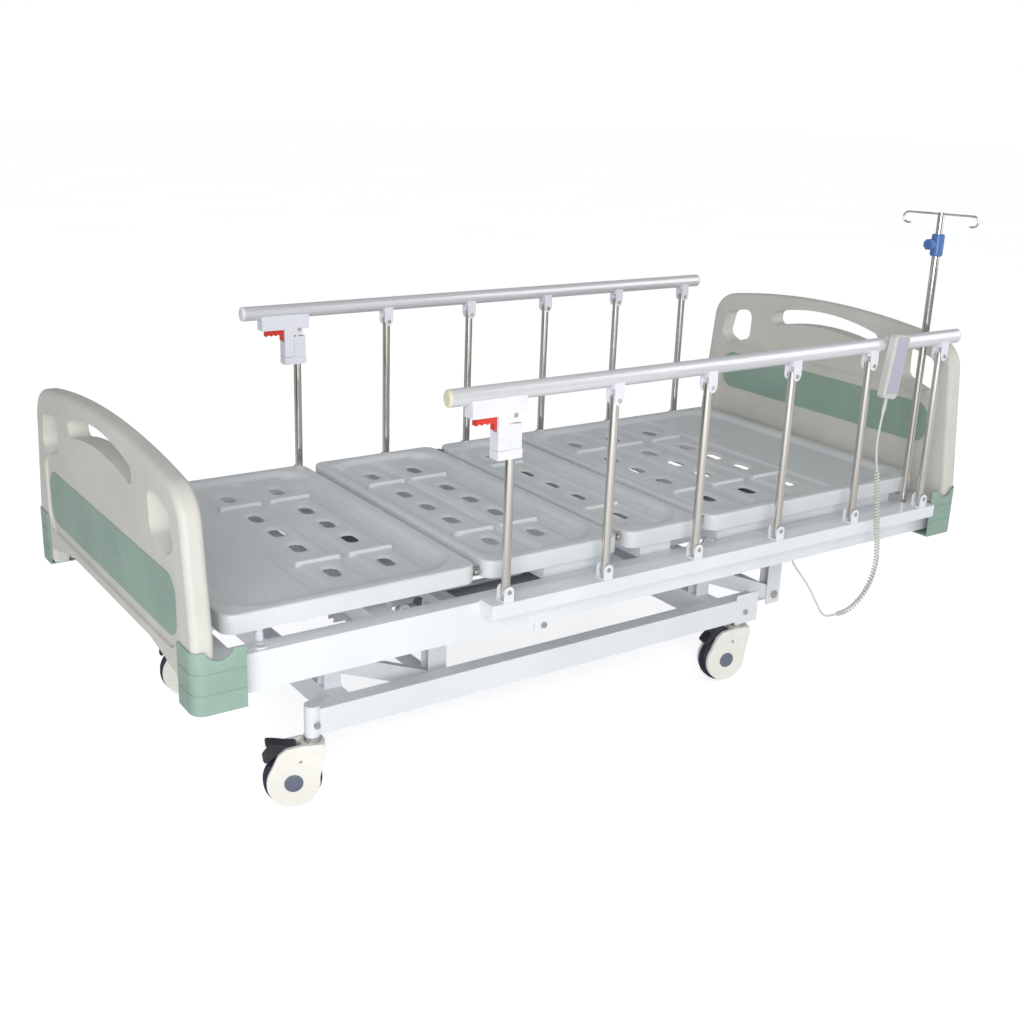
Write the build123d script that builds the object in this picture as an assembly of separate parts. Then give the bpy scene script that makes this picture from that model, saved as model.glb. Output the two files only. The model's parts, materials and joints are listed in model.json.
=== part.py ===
from build123d import *
import math
import os

# Adjustable hospital bed on four castors, drawn at its lowest height with every section flat.
# Millimetres.  +X points to the head end, -Y is the side the handset hangs on, Z is up.
# The origin is on the floor under the middle of the bed.

PARTS_FOLDER = "parts"
os.makedirs(PARTS_FOLDER, exist_ok=True)

SIDES = (-1, 1)
RUNNING_FIT = 0.05

# ---- castors ----
WHEEL_RADIUS = 62.5
WHEEL_HALF_WIDTH = 14.0
CASTOR_TRAIL = 43.0
CASTOR_FOOT_X = -749.0
CASTOR_HEAD_X = 476.0
CASTOR_Y = 307.0
CASTOR_HEADING_FOOT = -20.0
CASTOR_HEADING_HEAD = -10.0
TURRET_TOP_Z = 147.0
TURRET_BOTTOM_Z = 128.0
CASTOR_COVER_RADIUS = 56.0
CASTOR_PEDAL_PIVOT = (-40.0, 137.0)

# ---- wheeled base ----
BASE_Z0 = 165.0
BASE_Z1 = 225.0
BASE_TUBE_WIDTH = 40.0
TUBE_WALL = 2.5
BASE_FOOT_X = -740.0
BASE_HEAD_X = 520.0
BASE_CROSS_FOOT_X = -672.0
BASE_CROSS_HEAD_X = 396.0
STEM_RADIUS = 14.0

# ---- lift linkage ----
LIFT_BASE_Z = 280.0
LIFT_TOP_Z = 175.0
LIFT_REACH_X = 264.0
LIFT_ARM_RADIUS = 19.0
LIFT_ARM_Y0 = 223.0
LIFT_ARM_Y1 = 245.0
LIFT_PIN_RADIUS = 6.0
TORSION_RADIUS = 15.0
LIFT_SWING_DEG = 62.0
TIE_LEVER_LENGTH = 80.0

# ---- upper frame ----
FRAME_Z0 = 370.0
FRAME_Z1 = 450.0
FRAME_Y_IN = 410.0
FRAME_Y_OUT = 455.0
FRAME_FOOT_X = -1022.0
FRAME_HEAD_X = 1020.0
LOW_CROSS_Z1 = 392.0
HIGH_CROSS_Z0 = 410.0
SOCKET_X = 915.0
SOCKET_Y = 435.0
SOCKET_BORE_RADIUS = 9.6

# ---- deck ----
DECK_HALF_WIDTH = 418.0
DECK_TOP_Z = 516.0
DECK_SKIRT_Z = 477.0
DECK_FIELD_Z = 506.0
DECK_SHEET = 1.5
DECK_CORNER = 30.0
DECK_GAP = 24.0
BUMPER_X = -905.0
BUMPER_Y = 406.0
BUMPER_RADIUS = 8.5
BACK_HINGE = (229.0, 503.0)
THIGH_HINGE = (-20.0, 503.0)
KNEE_HINGE = (-403.0, 490.0)
DECK_FOOT_X = -980.0
DECK_HEAD_X = 978.0
HOLE_ROWS = (-275.0, -110.0, 0.0, 110.0, 275.0)
CALF_HOLES_X = (-682.0, -556.0)
THIGH_HOLES_X = (-290.0, -167.0)
SEAT_HOLES_X = (76.0,)
BACK_HOLES_X = (360.0, 496.0, 634.0)
HOLE_LENGTH = 52.0
HOLE_WIDTH = 30.0
FIELD_INSET = 30.0
BAR_ROWS = (-203.0, 203.0)
BAR_HALF_LENGTH = 50.0
BAR_HALF_WIDTH = 8.0
BAR_RISE = 4.0
RING_Z0 = 441.0
RING_Y0 = 370.0
RING_Y1 = 400.0
RING_TUBE_WIDTH = 30.0
RING_WALL = 2.0
BEARER_WIDTH = 25.0
BEARER_Y = 360.0
SEAT_RING_X = (43.0, 135.0)
THIGH_RING_X = (-231.0, -60.0)
BACK_RING_X = (283.0, 900.0)

# ---- linear actuators ----
ACTUATOR_Z = 418.0
ACTUATOR_RADIUS = 21.0
ACTUATOR_TUBE = 330.0
ACTUATOR_MOTOR = 65.0
ACTUATOR_TONGUE = 20.0
ROD_RADIUS = 10.0
YOKE_PIN_RADIUS = 5.0
LEVER_OFFSET = 17.0
YOKE_HEIGHT = 85.0
BACK_SWING_DEG = 75.0
THIGH_SWING_DEG = 35.0
BACK_ACTUATOR_Y = -60.0
KNEE_ACTUATOR_Y = 60.0
HEIGHT_ACTUATOR_Z = 250.0
HEIGHT_BRACKET_X = 100.0

# ---- side rails ----
RAIL_POST_X = (-393.0, -131.5, 130.0, 391.0, 652.0, 913.0)
RAIL_Y = 488.5
RAIL_PIN_Z = 479.5
RAIL_TOP_PIN_Z = 856.5
RAIL_POST_RADIUS = 9.75
HANDRAIL_Z = 902.5
HANDRAIL_X0 = -537.0
HANDRAIL_X1 = 965.0
HANDRAIL_HALF_WIDTH = 15.0
HANDRAIL_HALF_HEIGHT = 18.0
CHANNEL_Z0 = 426.0
CHANNEL_Z1 = 457.0
HANGER_BOLT = (-269.0, 364.0)

# ---- end boards ----
BOARD_THICKNESS = 44.0
FOOTBOARD_X0 = -1066.0
HEADBOARD_X0 = 1020.0
BOARD_HALF_WIDTH = 482.0
BOARD_LEG_Z = 365.0
BOARD_WALL = 4.0
BOARD_CAVITY = 24.0
FOOTBOARD_DROP = 86.0
FOOT_INLAY_Z = (478.0, 602.0)
HEAD_INLAY_Z = (588.0, 696.0)
COVER_LENGTH = 104.0
COVER_Y = (-490.0, -412.0)
COVER_Z = (362.0, 487.0)
COVER_WALL = 3.0
COVER_CORNER = 26.0
COVER_GROOVES_Z = (402.0, 444.0)

# ---- drip pole ----
POLE_RADIUS = 9.5
POLE_INNER_RADIUS = 8.0
POLE_COLLAR_Z0 = 1098.0
POLE_COLLAR_Z1 = 1152.0
POLE_TOP_Z = 1204.0
POLE_KNOB_Z = 1128.0
HOOK_REACH = 78.0
HOOK_RING_RADIUS = 13.0
HOOK_TURN = 25.0

# ---- handset and its cord ----
HANDSET_SIZE = (52.0, 22.0, 158.0)
HANDSET_CENTRE = (709.0, -517.0, 853.0)
HANDSET_LEAN = 9.0
HANDSET_HOOK_X = (700.0, 730.0)
CONTROL_BOX_X = (480.0, 620.0)
CONTROL_BOX_Y = -310.0
CONTROL_BOX_Z = (386.0, 437.0)
LEAD_RADIUS = 2.75
COIL_RADIUS = 7.5
CORD_EXIT = (556.0, -395.0, 372.0)


def box(x0, x1, y0, y1, z0, z1):
    """A block given by its six faces."""
    centre = ((x0 + x1) / 2, (y0 + y1) / 2, (z0 + z1) / 2)
    return Pos(*centre) * Box(abs(x1 - x0), abs(y1 - y0), abs(z1 - z0))


def rod_x(x0, x1, y, z, radius):
    """A round bar running along X."""
    return Pos((x0 + x1) / 2, y, z) * Rot(0, 90, 0) * Cylinder(radius, abs(x1 - x0))


def rod_y(x, y0, y1, z, radius):
    """A round bar running along Y."""
    return Pos(x, (y0 + y1) / 2, z) * Rot(90, 0, 0) * Cylinder(radius, abs(y1 - y0))


def rod_z(x, y, z0, z1, radius):
    """A round bar standing along Z."""
    return Pos(x, y, (z0 + z1) / 2) * Cylinder(radius, abs(z1 - z0))


def rect_tube(x0, x1, y0, y1, z0, z1, wall=TUBE_WALL):
    """A rectangular tube with welded end caps, given by its six faces."""
    hollow = box(x0 + wall, x1 - wall, y0 + wall, y1 - wall, z0 + wall, z1 - wall)
    return box(x0, x1, y0, y1, z0, z1) - hollow


def plate_xz(outline, y0, y1):
    """A flat plate: a face drawn on the XZ plane, given thickness from y0 to y1."""
    solid = extrude(Plane.XZ * outline, amount=-(y1 - y0))
    return Pos(0, y0, 0) * solid


def link_outline(start, end, start_radius, end_radius):
    """Two discs joined by their tangents, the outline of a lever or a link."""
    length = math.hypot(end[0] - start[0], end[1] - start[1])
    angle = math.degrees(math.atan2(end[1] - start[1], end[0] - start[0]))
    ends = Circle(start_radius) + Pos(length, 0) * Circle(end_radius)
    return Pos(start[0], start[1]) * Rot(0, 0, angle) * make_hull(ends.edges())


def polar(centre, radius, angle_deg):
    """A point at a distance and direction from a centre, on the XZ plane."""
    angle = math.radians(angle_deg)
    return (centre[0] + radius * math.cos(angle), centre[1] + radius * math.sin(angle))


def mirror_y(shape):
    """The same shape on the other side of the bed."""
    return mirror(shape, Plane.XZ)


def save(node, *solids):
    """Write one named sub-part."""
    shape = Compound(children=list(solids)) if len(solids) > 1 else solids[0]
    export_step(shape, os.path.join(PARTS_FOLDER, node + ".step"))
    print(node, len(solids), "solid(s)")


# =============================== wheeled base ===============================

def castor_places():
    """Name, X, Y and heading of the four castors."""
    return (
        ("foot_left", CASTOR_FOOT_X, -CASTOR_Y, CASTOR_HEADING_FOOT),
        ("foot_right", CASTOR_FOOT_X, CASTOR_Y, CASTOR_HEADING_FOOT),
        ("head_left", CASTOR_HEAD_X, -CASTOR_Y, CASTOR_HEADING_HEAD),
        ("head_right", CASTOR_HEAD_X, CASTOR_Y, CASTOR_HEADING_HEAD),
    )


def base_lug(x, y0, y1):
    """Upright plate on a cross tube that carries a lift-arm pivot."""
    outline = Pos(x, LIFT_BASE_Z) * Circle(20) + Pos(x, (BASE_Z1 + LIFT_BASE_Z) / 2) * Rectangle(
        40, LIFT_BASE_Z - BASE_Z1)
    return plate_xz(outline, y0, y1)


def base_frame():
    """Welded H of rectangular tube with castor sockets and lift-arm lugs."""
    half = BASE_TUBE_WIDTH / 2
    frame = None
    for side in SIDES:
        y = side * CASTOR_Y
        rail = rect_tube(BASE_FOOT_X, BASE_HEAD_X, y - half, y + half, BASE_Z0, BASE_Z1)
        rail += rod_z(CASTOR_FOOT_X, y, BASE_Z0 - 6, BASE_Z1 + 5, STEM_RADIUS + 3)
        rail += rod_z(CASTOR_HEAD_X, y, BASE_Z0 - 6, BASE_Z1, STEM_RADIUS + 3)
        cheek_y = side * (CASTOR_Y + half)
        rail += box(445, BASE_HEAD_X, cheek_y, cheek_y + side * 3, BASE_Z0 - 6, BASE_Z1 + 15)
        frame = rail if frame is None else frame + rail
    inner = CASTOR_Y - half
    for x in (BASE_CROSS_FOOT_X, BASE_CROSS_HEAD_X):
        cross = box(x - half, x + half, -inner - 1, inner + 1, BASE_Z0, BASE_Z1)
        bore = half - TUBE_WALL
        cross -= box(x - bore, x + bore, -inner - 1, inner + 1, BASE_Z0 + TUBE_WALL, BASE_Z1 - TUBE_WALL)
        frame += cross
        for side in SIDES:
            frame += base_lug(x, *sorted((side * 217, side * 221)))
            frame += base_lug(x, *sorted((side * 247, side * 251)))
    for name, x, y, heading in castor_places():
        frame -= rod_z(x, y, BASE_Z0 - 7, BASE_Z1 - 3, STEM_RADIUS)
        frame -= rod_y(x, y - 30, y + 30, 190, 4)
    for x in (BASE_CROSS_FOOT_X, BASE_CROSS_HEAD_X):
        frame -= rod_y(x, -260, 260, LIFT_BASE_Z, LIFT_PIN_RADIUS)
    return frame


def castor_stem(x, y):
    """Stem fixed in the base by a cross bolt, with the swivel pin below it."""
    stem = rod_z(x, y, BASE_Z0 - 6, BASE_Z1 - 3, STEM_RADIUS)
    stem += rod_z(x, y, TURRET_TOP_Z + 0.3, BASE_Z0 - 6, STEM_RADIUS + 5)
    stem += rod_z(x, y, TURRET_BOTTOM_Z + 2, TURRET_TOP_Z + 1, 8)
    stem += rod_y(x, y - 26, y + 26, 190, 4)
    for side in SIDES:
        outer = y + side * (26 if x < 0 else 27)
        stem += rod_y(x, outer - side * 3, outer, 190, 7)
    return stem


def lift_base_pin(x, side):
    """Pin with a head on each end through a pair of base lugs."""
    pin = rod_y(x, side * 213, side * 255, LIFT_BASE_Z, LIFT_PIN_RADIUS)
    pin += rod_y(x, side * 213, side * 217, LIFT_BASE_Z, 10)
    pin += rod_y(x, side * 251, side * 255, LIFT_BASE_Z, 10)
    return pin


def castor_side_outline():
    """Side cover of a castor: a disc over the wheel running up to the turret."""
    disc = Pos(-CASTOR_TRAIL, WHEEL_RADIUS) * Circle(CASTOR_COVER_RADIUS)
    neck = make_face(Polyline((-94, 84), (-74, 128), (-58, 141), (-25, TURRET_TOP_Z), (22, TURRET_TOP_Z),
                              (24, TURRET_BOTTOM_Z), (12, 66), (-40, 40), close=True))
    return disc + neck


def castor_housing():
    """Moulded castor body, drawn with its swivel axis on the origin, trailing along -X."""
    body = None
    for side in SIDES:
        cheek = plate_xz(castor_side_outline(), *sorted((side * 17, side * 26)))
        body = cheek if body is None else body + cheek
        body += rod_y(-CASTOR_TRAIL, side * 25, side * 27.5, WHEEL_RADIUS, 20)
        body += rod_y(-28, side * 25, side * 27, 112, 3.5)
    body += box(-22, 22, -17, 17, TURRET_BOTTOM_Z, TURRET_TOP_Z)
    body += rod_z(0, 0, TURRET_BOTTOM_Z, TURRET_TOP_Z, 26)
    body += rod_y(-CASTOR_TRAIL, -18, 18, WHEEL_RADIUS, 6)
    body += rod_y(CASTOR_PEDAL_PIVOT[0], -18, 18, CASTOR_PEDAL_PIVOT[1], 3)
    return body - rod_z(0, 0, TURRET_BOTTOM_Z - 1, TURRET_TOP_Z + 1, 8 + RUNNING_FIT)


def castor_wheel():
    """Wheel with a rounded tread, in the same placing as the housing."""
    tyre = Rot(90, 0, 0) * Cylinder(WHEEL_RADIUS, 2 * WHEEL_HALF_WIDTH)
    tyre = fillet(tyre.edges().filter_by(GeomType.CIRCLE), 8)
    wheel = Pos(-CASTOR_TRAIL, 0, WHEEL_RADIUS) * tyre
    for side in SIDES:
        wheel -= rod_y(-CASTOR_TRAIL, side * 10, side * 20, WHEEL_RADIUS, 46)
    wheel += rod_y(-CASTOR_TRAIL, -WHEEL_HALF_WIDTH, WHEEL_HALF_WIDTH, WHEEL_RADIUS, 16)
    return wheel - rod_y(-CASTOR_TRAIL, -20, 20, WHEEL_RADIUS, 6 + RUNNING_FIT)


def castor_pedal():
    """Brake pedal with two wings, hooked over the back of the wheel."""
    inner = [polar((-CASTOR_TRAIL, WHEEL_RADIUS), 71, angle) for angle in (92, 108, 124, 138)]
    lower_wing = [(-101, 109), (-105, 116), (-97, 127), (-88, 135)]
    upper_wing = [(-90, 142), (-99, 149), (-96, 153), (-78, 151), (-60, 147), (-40, 144)]
    blade = make_face(Polyline(*inner, *lower_wing, *upper_wing, close=True))
    x, z = CASTOR_PEDAL_PIVOT
    pedal = plate_xz(blade + Pos(x, z) * Circle(7.5), -16, 16)
    return pedal - rod_y(x, -20, 20, z, 3 + RUNNING_FIT)


# =============================== lift linkage ===============================

def lever_rest_angle(swing_deg):
    """A lever that passes through the upright half way through its swing."""
    return 90 - swing_deg / 2


def lift_arm_pair(base_x, open_pivot):
    """Two arms joined by a torsion tube, with the levers that drive and tie them."""
    top_x = base_x + LIFT_REACH_X
    fit = 1.0 if open_pivot else RUNNING_FIT
    outline = link_outline((base_x, LIFT_BASE_Z), (top_x, LIFT_TOP_Z), LIFT_ARM_RADIUS, LIFT_ARM_RADIUS)
    arms = rod_y(top_x, -LIFT_ARM_Y0 - 1, LIFT_ARM_Y0 + 1, LIFT_TOP_Z, TORSION_RADIUS)
    for side in SIDES:
        arm = plate_xz(outline, *sorted((side * LIFT_ARM_Y0, side * LIFT_ARM_Y1)))
        arm -= rod_y(base_x, side * 220, side * 250, LIFT_BASE_Z, LIFT_PIN_RADIUS + RUNNING_FIT)
        arms += arm
        arms -= rod_y(top_x, side * 225, side * 250, LIFT_TOP_Z, LIFT_PIN_RADIUS + fit)
    tie_end = polar((top_x, LIFT_TOP_Z), TIE_LEVER_LENGTH, lever_rest_angle(LIFT_SWING_DEG))
    arms += plate_xz(link_outline((top_x, LIFT_TOP_Z), tie_end, 20, 12), 50, 58)
    arms += rod_y(tie_end[0], 57, 70, tie_end[1], 5)
    return arms


def height_lever():
    """Slotted lever on the foot-end torsion tube, pushed by the height actuator."""
    pivot = (BASE_CROSS_FOOT_X + LIFT_REACH_X, LIFT_TOP_Z)
    reach = HEIGHT_ACTUATOR_Z - LIFT_TOP_Z
    angle = lever_rest_angle(LIFT_SWING_DEG)
    near = polar(pivot, reach - 4, angle)
    far = polar(pivot, reach / math.cos(math.radians(LIFT_SWING_DEG / 2)) + 3, angle)
    y = -LEVER_OFFSET
    lever = plate_xz(link_outline(pivot, far, 22, 17), y - 3, y + 3)
    return lever - plate_xz(link_outline(near, far, 8.5, 8.5), y - 5, y + 5)


def lift_tie_bar():
    """Flat bar that keeps the foot and head arms turning together."""
    ends = []
    for base_x in (BASE_CROSS_FOOT_X, BASE_CROSS_HEAD_X):
        pivot = (base_x + LIFT_REACH_X, LIFT_TOP_Z)
        ends.append(polar(pivot, TIE_LEVER_LENGTH, lever_rest_angle(LIFT_SWING_DEG)))
    bar = plate_xz(link_outline(ends[0], ends[1], 11, 11), 59, 67)
    bar -= rod_y(ends[0][0], 55, 75, ends[0][1], 5 + RUNNING_FIT)
    return bar - rod_y(ends[1][0], 55, 75, ends[1][1], 6)


# =============================== upper frame ===============================

def hanging_post(x, open_pivot):
    """U-shaped post under a cross tube that holds the top pivot of a lift arm, for +Y."""
    bottom = LIFT_TOP_Z - 27
    post = box(x - 24, x + 24, 218, 221, bottom, FRAME_Z0)
    post += box(x - 24, x + 24, 247, 250, bottom, FRAME_Z0)
    post += box(x + 21, x + 24, 218, 250, bottom, FRAME_Z0)
    bearing = TORSION_RADIUS + (1.0 if open_pivot else RUNNING_FIT)
    post -= rod_y(x, 210, 222, LIFT_TOP_Z, bearing)
    return post - rod_y(x, 240, 255, LIFT_TOP_Z, LIFT_PIN_RADIUS)


def seat_ring():
    """Tubes under the fixed seat section, hung from the side tubes."""
    ring = section_ring(*SEAT_RING_X)
    for x in (SEAT_RING_X[0], SEAT_RING_X[1] - RING_TUBE_WIDTH):
        for side in SIDES:
            y0, y1 = sorted((side * (RING_Y1 - 2), side * (FRAME_Y_IN + 1)))
            ring += box(x, x + RING_TUBE_WIDTH, y0, y1, RING_Z0, FRAME_Z1)
    return ring


def section_ring(x0, x1):
    """Rectangle of tube with cross bearers that carries a deck section."""
    bearer_z = DECK_FIELD_Z - DECK_SHEET
    wide = RING_TUBE_WIDTH
    wall = RING_WALL
    ring = rect_tube(x0, x1, -RING_Y1, RING_Y1, RING_Z0, DECK_SKIRT_Z, wall)
    inner_x0, inner_x1 = x0 + wide, x1 - wide
    ring += box(inner_x0 - wall, inner_x1 + wall, -RING_Y0 - wall, RING_Y0 + wall, RING_Z0 + 1, DECK_SKIRT_Z - 1)
    ring -= box(inner_x0, inner_x1, -RING_Y0, RING_Y0, RING_Z0 - 1, DECK_SKIRT_Z + 1)
    for x in (x0, x1 - BEARER_WIDTH):
        ring += rect_tube(x, x + BEARER_WIDTH, -BEARER_Y, BEARER_Y, DECK_SKIRT_Z - 1, bearer_z, wall)
    return ring


def upper_frame():
    """Welded frame that the lift raises: side tubes, cross tubes, posts and pole sockets."""
    frame = None
    for side in SIDES:
        y0, y1 = sorted((side * FRAME_Y_IN, side * FRAME_Y_OUT))
        tube = rect_tube(FRAME_FOOT_X, FRAME_HEAD_X, y0, y1, FRAME_Z0, FRAME_Z1)
        for x in (-SOCKET_X, SOCKET_X):
            tube += rod_z(x, side * SOCKET_Y, FRAME_Z0 + 8, FRAME_Z1, SOCKET_BORE_RADIUS + 2)
            tube += rod_z(x, side * SOCKET_Y, FRAME_Z1 - 1, FRAME_Z1 + 3, SOCKET_BORE_RADIUS + 3)
            tube -= rod_z(x, side * SOCKET_Y, FRAME_Z0 + 10, FRAME_Z1 + 5, SOCKET_BORE_RADIUS)
        frame = tube if frame is None else frame + tube
    for x0, x1 in ((-1010, -970), (-661, -611), (965, 1005)):
        frame += rect_tube(x0, x1, -FRAME_Y_IN - 1, FRAME_Y_IN + 1, HIGH_CROSS_Z0, FRAME_Z1)
    frame += rect_tube(740, 780, -FRAME_Y_IN - 1, FRAME_Y_IN + 1, RING_Z0 - 42, RING_Z0 - 2)
    foot_post_x = BASE_CROSS_FOOT_X + LIFT_REACH_X
    head_post_x = BASE_CROSS_HEAD_X + LIFT_REACH_X
    for x in (foot_post_x, head_post_x, 110):
        frame += rect_tube(x - 20, x + 20, -FRAME_Y_IN - 1, FRAME_Y_IN + 1, FRAME_Z0, LOW_CROSS_Z1)
    for x, open_pivot in ((foot_post_x, False), (head_post_x, True)):
        post = hanging_post(x, open_pivot)
        frame += post
        frame += mirror_y(post)
    frame += box(HEIGHT_BRACKET_X, HEIGHT_BRACKET_X + 8, -20, 20, HEIGHT_ACTUATOR_Z - 15, FRAME_Z0 + 2)
    frame += box(HEIGHT_BRACKET_X + 7, 128, -3, 3, 330, FRAME_Z0 + 2)
    return frame + seat_ring()


def hinge_lug(hinge, deck_x, y0, y1, pin_hole):
    """Flat lug from a deck skirt out to a hinge axis."""
    x, z = hinge
    reach = 8 if deck_x > x else -8
    x0, x1 = sorted((x, deck_x + reach))
    outline = Pos(x, z) * Circle(9) + Pos((x0 + x1) / 2, z) * Rectangle(x1 - x0, 18)
    lug = plate_xz(outline, y0, y1)
    if pin_hole:
        lug -= rod_y(x, y0 - 1, y1 + 1, z, 4 + RUNNING_FIT)
    return lug


def hinge_lugs(hinge, deck_x, carries_pin):
    """The pair of lugs of one deck section at one hinge, with or without the pins."""
    lugs = []
    for side in SIDES:
        span = sorted((side * 384, side * 388)) if carries_pin else sorted((side * 390, side * 394))
        lug = hinge_lug(hinge, deck_x, *span, not carries_pin)
        if carries_pin:
            lug += rod_y(hinge[0], side * 384, side * 398, hinge[1], 4)
            lug += rod_y(hinge[0], side * 394.5, side * 398, hinge[1], 7)
        lugs.append(lug)
    return lugs


# =============================== deck sections ===============================

def deck_pan(x0, x1, hole_columns):
    """Pressed steel pan with a sunk field, obround holes and raised bars."""
    mid = (x0 + x1) / 2
    length = x1 - x0
    width = 2 * DECK_HALF_WIDTH
    depth = DECK_TOP_Z - DECK_SKIRT_Z

    def slab(inset, z0, z1, corner):
        outline = RectangleRounded(length - 2 * inset, width - 2 * inset, corner)
        return Pos(mid, 0, z0) * extrude(outline, amount=z1 - z0)

    shell = slab(0, DECK_SKIRT_Z, DECK_TOP_Z, DECK_CORNER)
    shell = fillet(shell.faces().sort_by(Axis.Z)[-1].edges(), 4)
    shell -= slab(DECK_SHEET, DECK_SKIRT_Z - 1, DECK_TOP_Z - DECK_SHEET, DECK_CORNER - DECK_SHEET)
    shell -= slab(FIELD_INSET, DECK_TOP_Z - 5, DECK_TOP_Z + 1, 20)
    tray = slab(FIELD_INSET - DECK_SHEET, DECK_FIELD_Z - DECK_SHEET, DECK_TOP_Z, 20 + DECK_SHEET)
    tray -= slab(FIELD_INSET, DECK_FIELD_Z, DECK_TOP_Z + 1, 20)
    pan = shell + tray
    for x in hole_columns:
        for y in HOLE_ROWS:
            slot = extrude(SlotOverall(HOLE_LENGTH, HOLE_WIDTH), amount=8, both=True)
            pan -= Pos(x, y, DECK_FIELD_Z) * Rot(0, 0, 90) * slot
        for y in BAR_ROWS:
            pan += box(x - BAR_HALF_LENGTH, x + BAR_HALF_LENGTH, y - BAR_HALF_WIDTH, y + BAR_HALF_WIDTH,
                       DECK_FIELD_Z - 0.5, DECK_FIELD_Z + BAR_RISE)
    return pan


def calf_bumper(side):
    """Nylon foot that slides along the side tube and carries the foot end of the calf section."""
    return rod_z(BUMPER_X, side * BUMPER_Y, FRAME_Z1 + 0.3, DECK_FIELD_Z - DECK_SHEET, BUMPER_RADIUS)


def drive_lever(hinge, swing_deg, toward_foot, root, y):
    """Slotted lever under a deck ring, pulled by its actuator."""
    lean = swing_deg / 2 if toward_foot else -swing_deg / 2
    angle = -90 - lean
    reach = YOKE_HEIGHT / math.cos(math.radians(swing_deg / 2))
    near = polar(hinge, YOKE_HEIGHT - 3, angle)
    far = polar(hinge, reach + 2, angle)
    lever = plate_xz(link_outline(root, far, 14, 17), y - 3, y + 3)
    return lever - plate_xz(link_outline(near, far, 9.5, 9.5), y - 5, y + 5)


def back_frame():
    """Tube ring under the back section with its slotted lever."""
    lever_y = BACK_ACTUATOR_Y - LEVER_OFFSET
    lever = drive_lever(BACK_HINGE, BACK_SWING_DEG, True, (298, 459), lever_y)
    return section_ring(*BACK_RING_X) + lever


def thigh_frame():
    """Tube ring under the thigh section with its slotted lever."""
    lever_y = KNEE_ACTUATOR_Y + LEVER_OFFSET
    lever = drive_lever(THIGH_HINGE, THIGH_SWING_DEG, False, (-75, 459), lever_y)
    return section_ring(*THIGH_RING_X) + lever


# =============================== actuators ===============================

def actuator_body(start_x, direction, y, z):
    """Tube, motor and mounting tongue; the tube runs from start_x in the rod's direction."""
    end_x = start_x + direction * ACTUATOR_TUBE
    motor_x = start_x - direction * ACTUATOR_MOTOR
    tongue_x = motor_x - direction * ACTUATOR_TONGUE
    body = rod_x(start_x, end_x, y, z, ACTUATOR_RADIUS)
    body += box(start_x, motor_x, y - 24, y + 24, z - 21, z + 21)
    body += rod_y((start_x + motor_x) / 2, y - 110, y, z, 20)
    body += box(motor_x, tongue_x, y - 8, y + 8, z - 12, z + 12)
    bore_x = start_x + direction * 6
    return body - rod_x(bore_x, end_x + direction, y, z, ROD_RADIUS + RUNNING_FIT)


def actuator_rod(pin_x, inner_x, y, z, pin_side):
    """Piston rod with a pin standing out of one side of its tip."""
    direction = 1 if inner_x > pin_x else -1
    rod = rod_x(pin_x - direction * 9, inner_x, y, z, ROD_RADIUS)
    return rod + rod_y(pin_x, y, y + pin_side * (LEVER_OFFSET + 6), z, YOKE_PIN_RADIUS)


def yoke_offset(height, swing_deg):
    """How far the yoke pin starts from under the hinge."""
    return height * math.tan(math.radians(swing_deg / 2))


# =============================== side rails ===============================

def rail_channel(side):
    """Box section along the side tube with a hanger plate near its foot end."""
    y0, y1 = sorted((side * FRAME_Y_OUT, side * 505))
    channel = rect_tube(-435, 957, y0, y1, CHANNEL_Z0, CHANNEL_Z1, 2.0)
    plate_y0, plate_y1 = sorted((side * FRAME_Y_OUT, side * (FRAME_Y_OUT + 4)))
    plate = box(-292, -246, plate_y0, plate_y1, 354, CHANNEL_Z0)
    return channel + plate - rod_y(-269, side * 450, side * 465, 364, 4)


def rail_clevis(x, side):
    """Two upright ears welded on the channel."""
    base = box(x - 12, x + 12, *sorted((side * 474, side * 503)), CHANNEL_Z1, CHANNEL_Z1 + 3)
    ear = Pos(x, RAIL_PIN_Z) * Circle(12) + Pos(x, (CHANNEL_Z1 + RAIL_PIN_Z) / 2) * Rectangle(
        24, RAIL_PIN_Z - CHANNEL_Z1)
    for inner, outer in ((474, 477), (500, 503)):
        base += plate_xz(ear, *sorted((side * inner, side * outer)))
    return base - rod_y(x, side * 470, side * 507, RAIL_PIN_Z, 3)


def rail_pin(x, side):
    """Pin through a clevis with a flat head on each end."""
    pin = rod_y(x, side * 472.5, side * 505, RAIL_PIN_Z, 3)
    pin += rod_y(x, side * 472.5, side * 474, RAIL_PIN_Z, 5)
    return pin + rod_y(x, side * 503, side * 505, RAIL_PIN_Z, 5)


def rail_post(x, side):
    """Polished tube with its top rivet."""
    y = side * RAIL_Y
    post = rod_z(x, y, RAIL_PIN_Z - 13, RAIL_TOP_PIN_Z + 9, RAIL_POST_RADIUS)
    post -= rod_z(x, y, RAIL_PIN_Z + 20, RAIL_TOP_PIN_Z - 15, RAIL_POST_RADIUS - 1.5)
    post -= rod_y(x, side * 470, side * 507, RAIL_PIN_Z, 3 + RUNNING_FIT)
    post += rod_y(x, side * 472, side * 505, RAIL_TOP_PIN_Z, 3)
    post += rod_y(x, side * 472, side * 473.2, RAIL_TOP_PIN_Z, 5)
    return post + rod_y(x, side * 503.8, side * 505, RAIL_TOP_PIN_Z, 5)


def latch_sleeve(side):
    """Lower half of the release latch, fixed on the first post and turning with it."""
    x = RAIL_POST_X[0]
    y = side * RAIL_Y
    sleeve = box(x - 40, x + 19, y - 15, y + 15, 767, 786)
    sleeve += box(x - 13, x + 19, y - 11.7, y + 11.7, 785, 838)
    return sleeve - rod_z(x, y, 760, 845, RAIL_POST_RADIUS)


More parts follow.
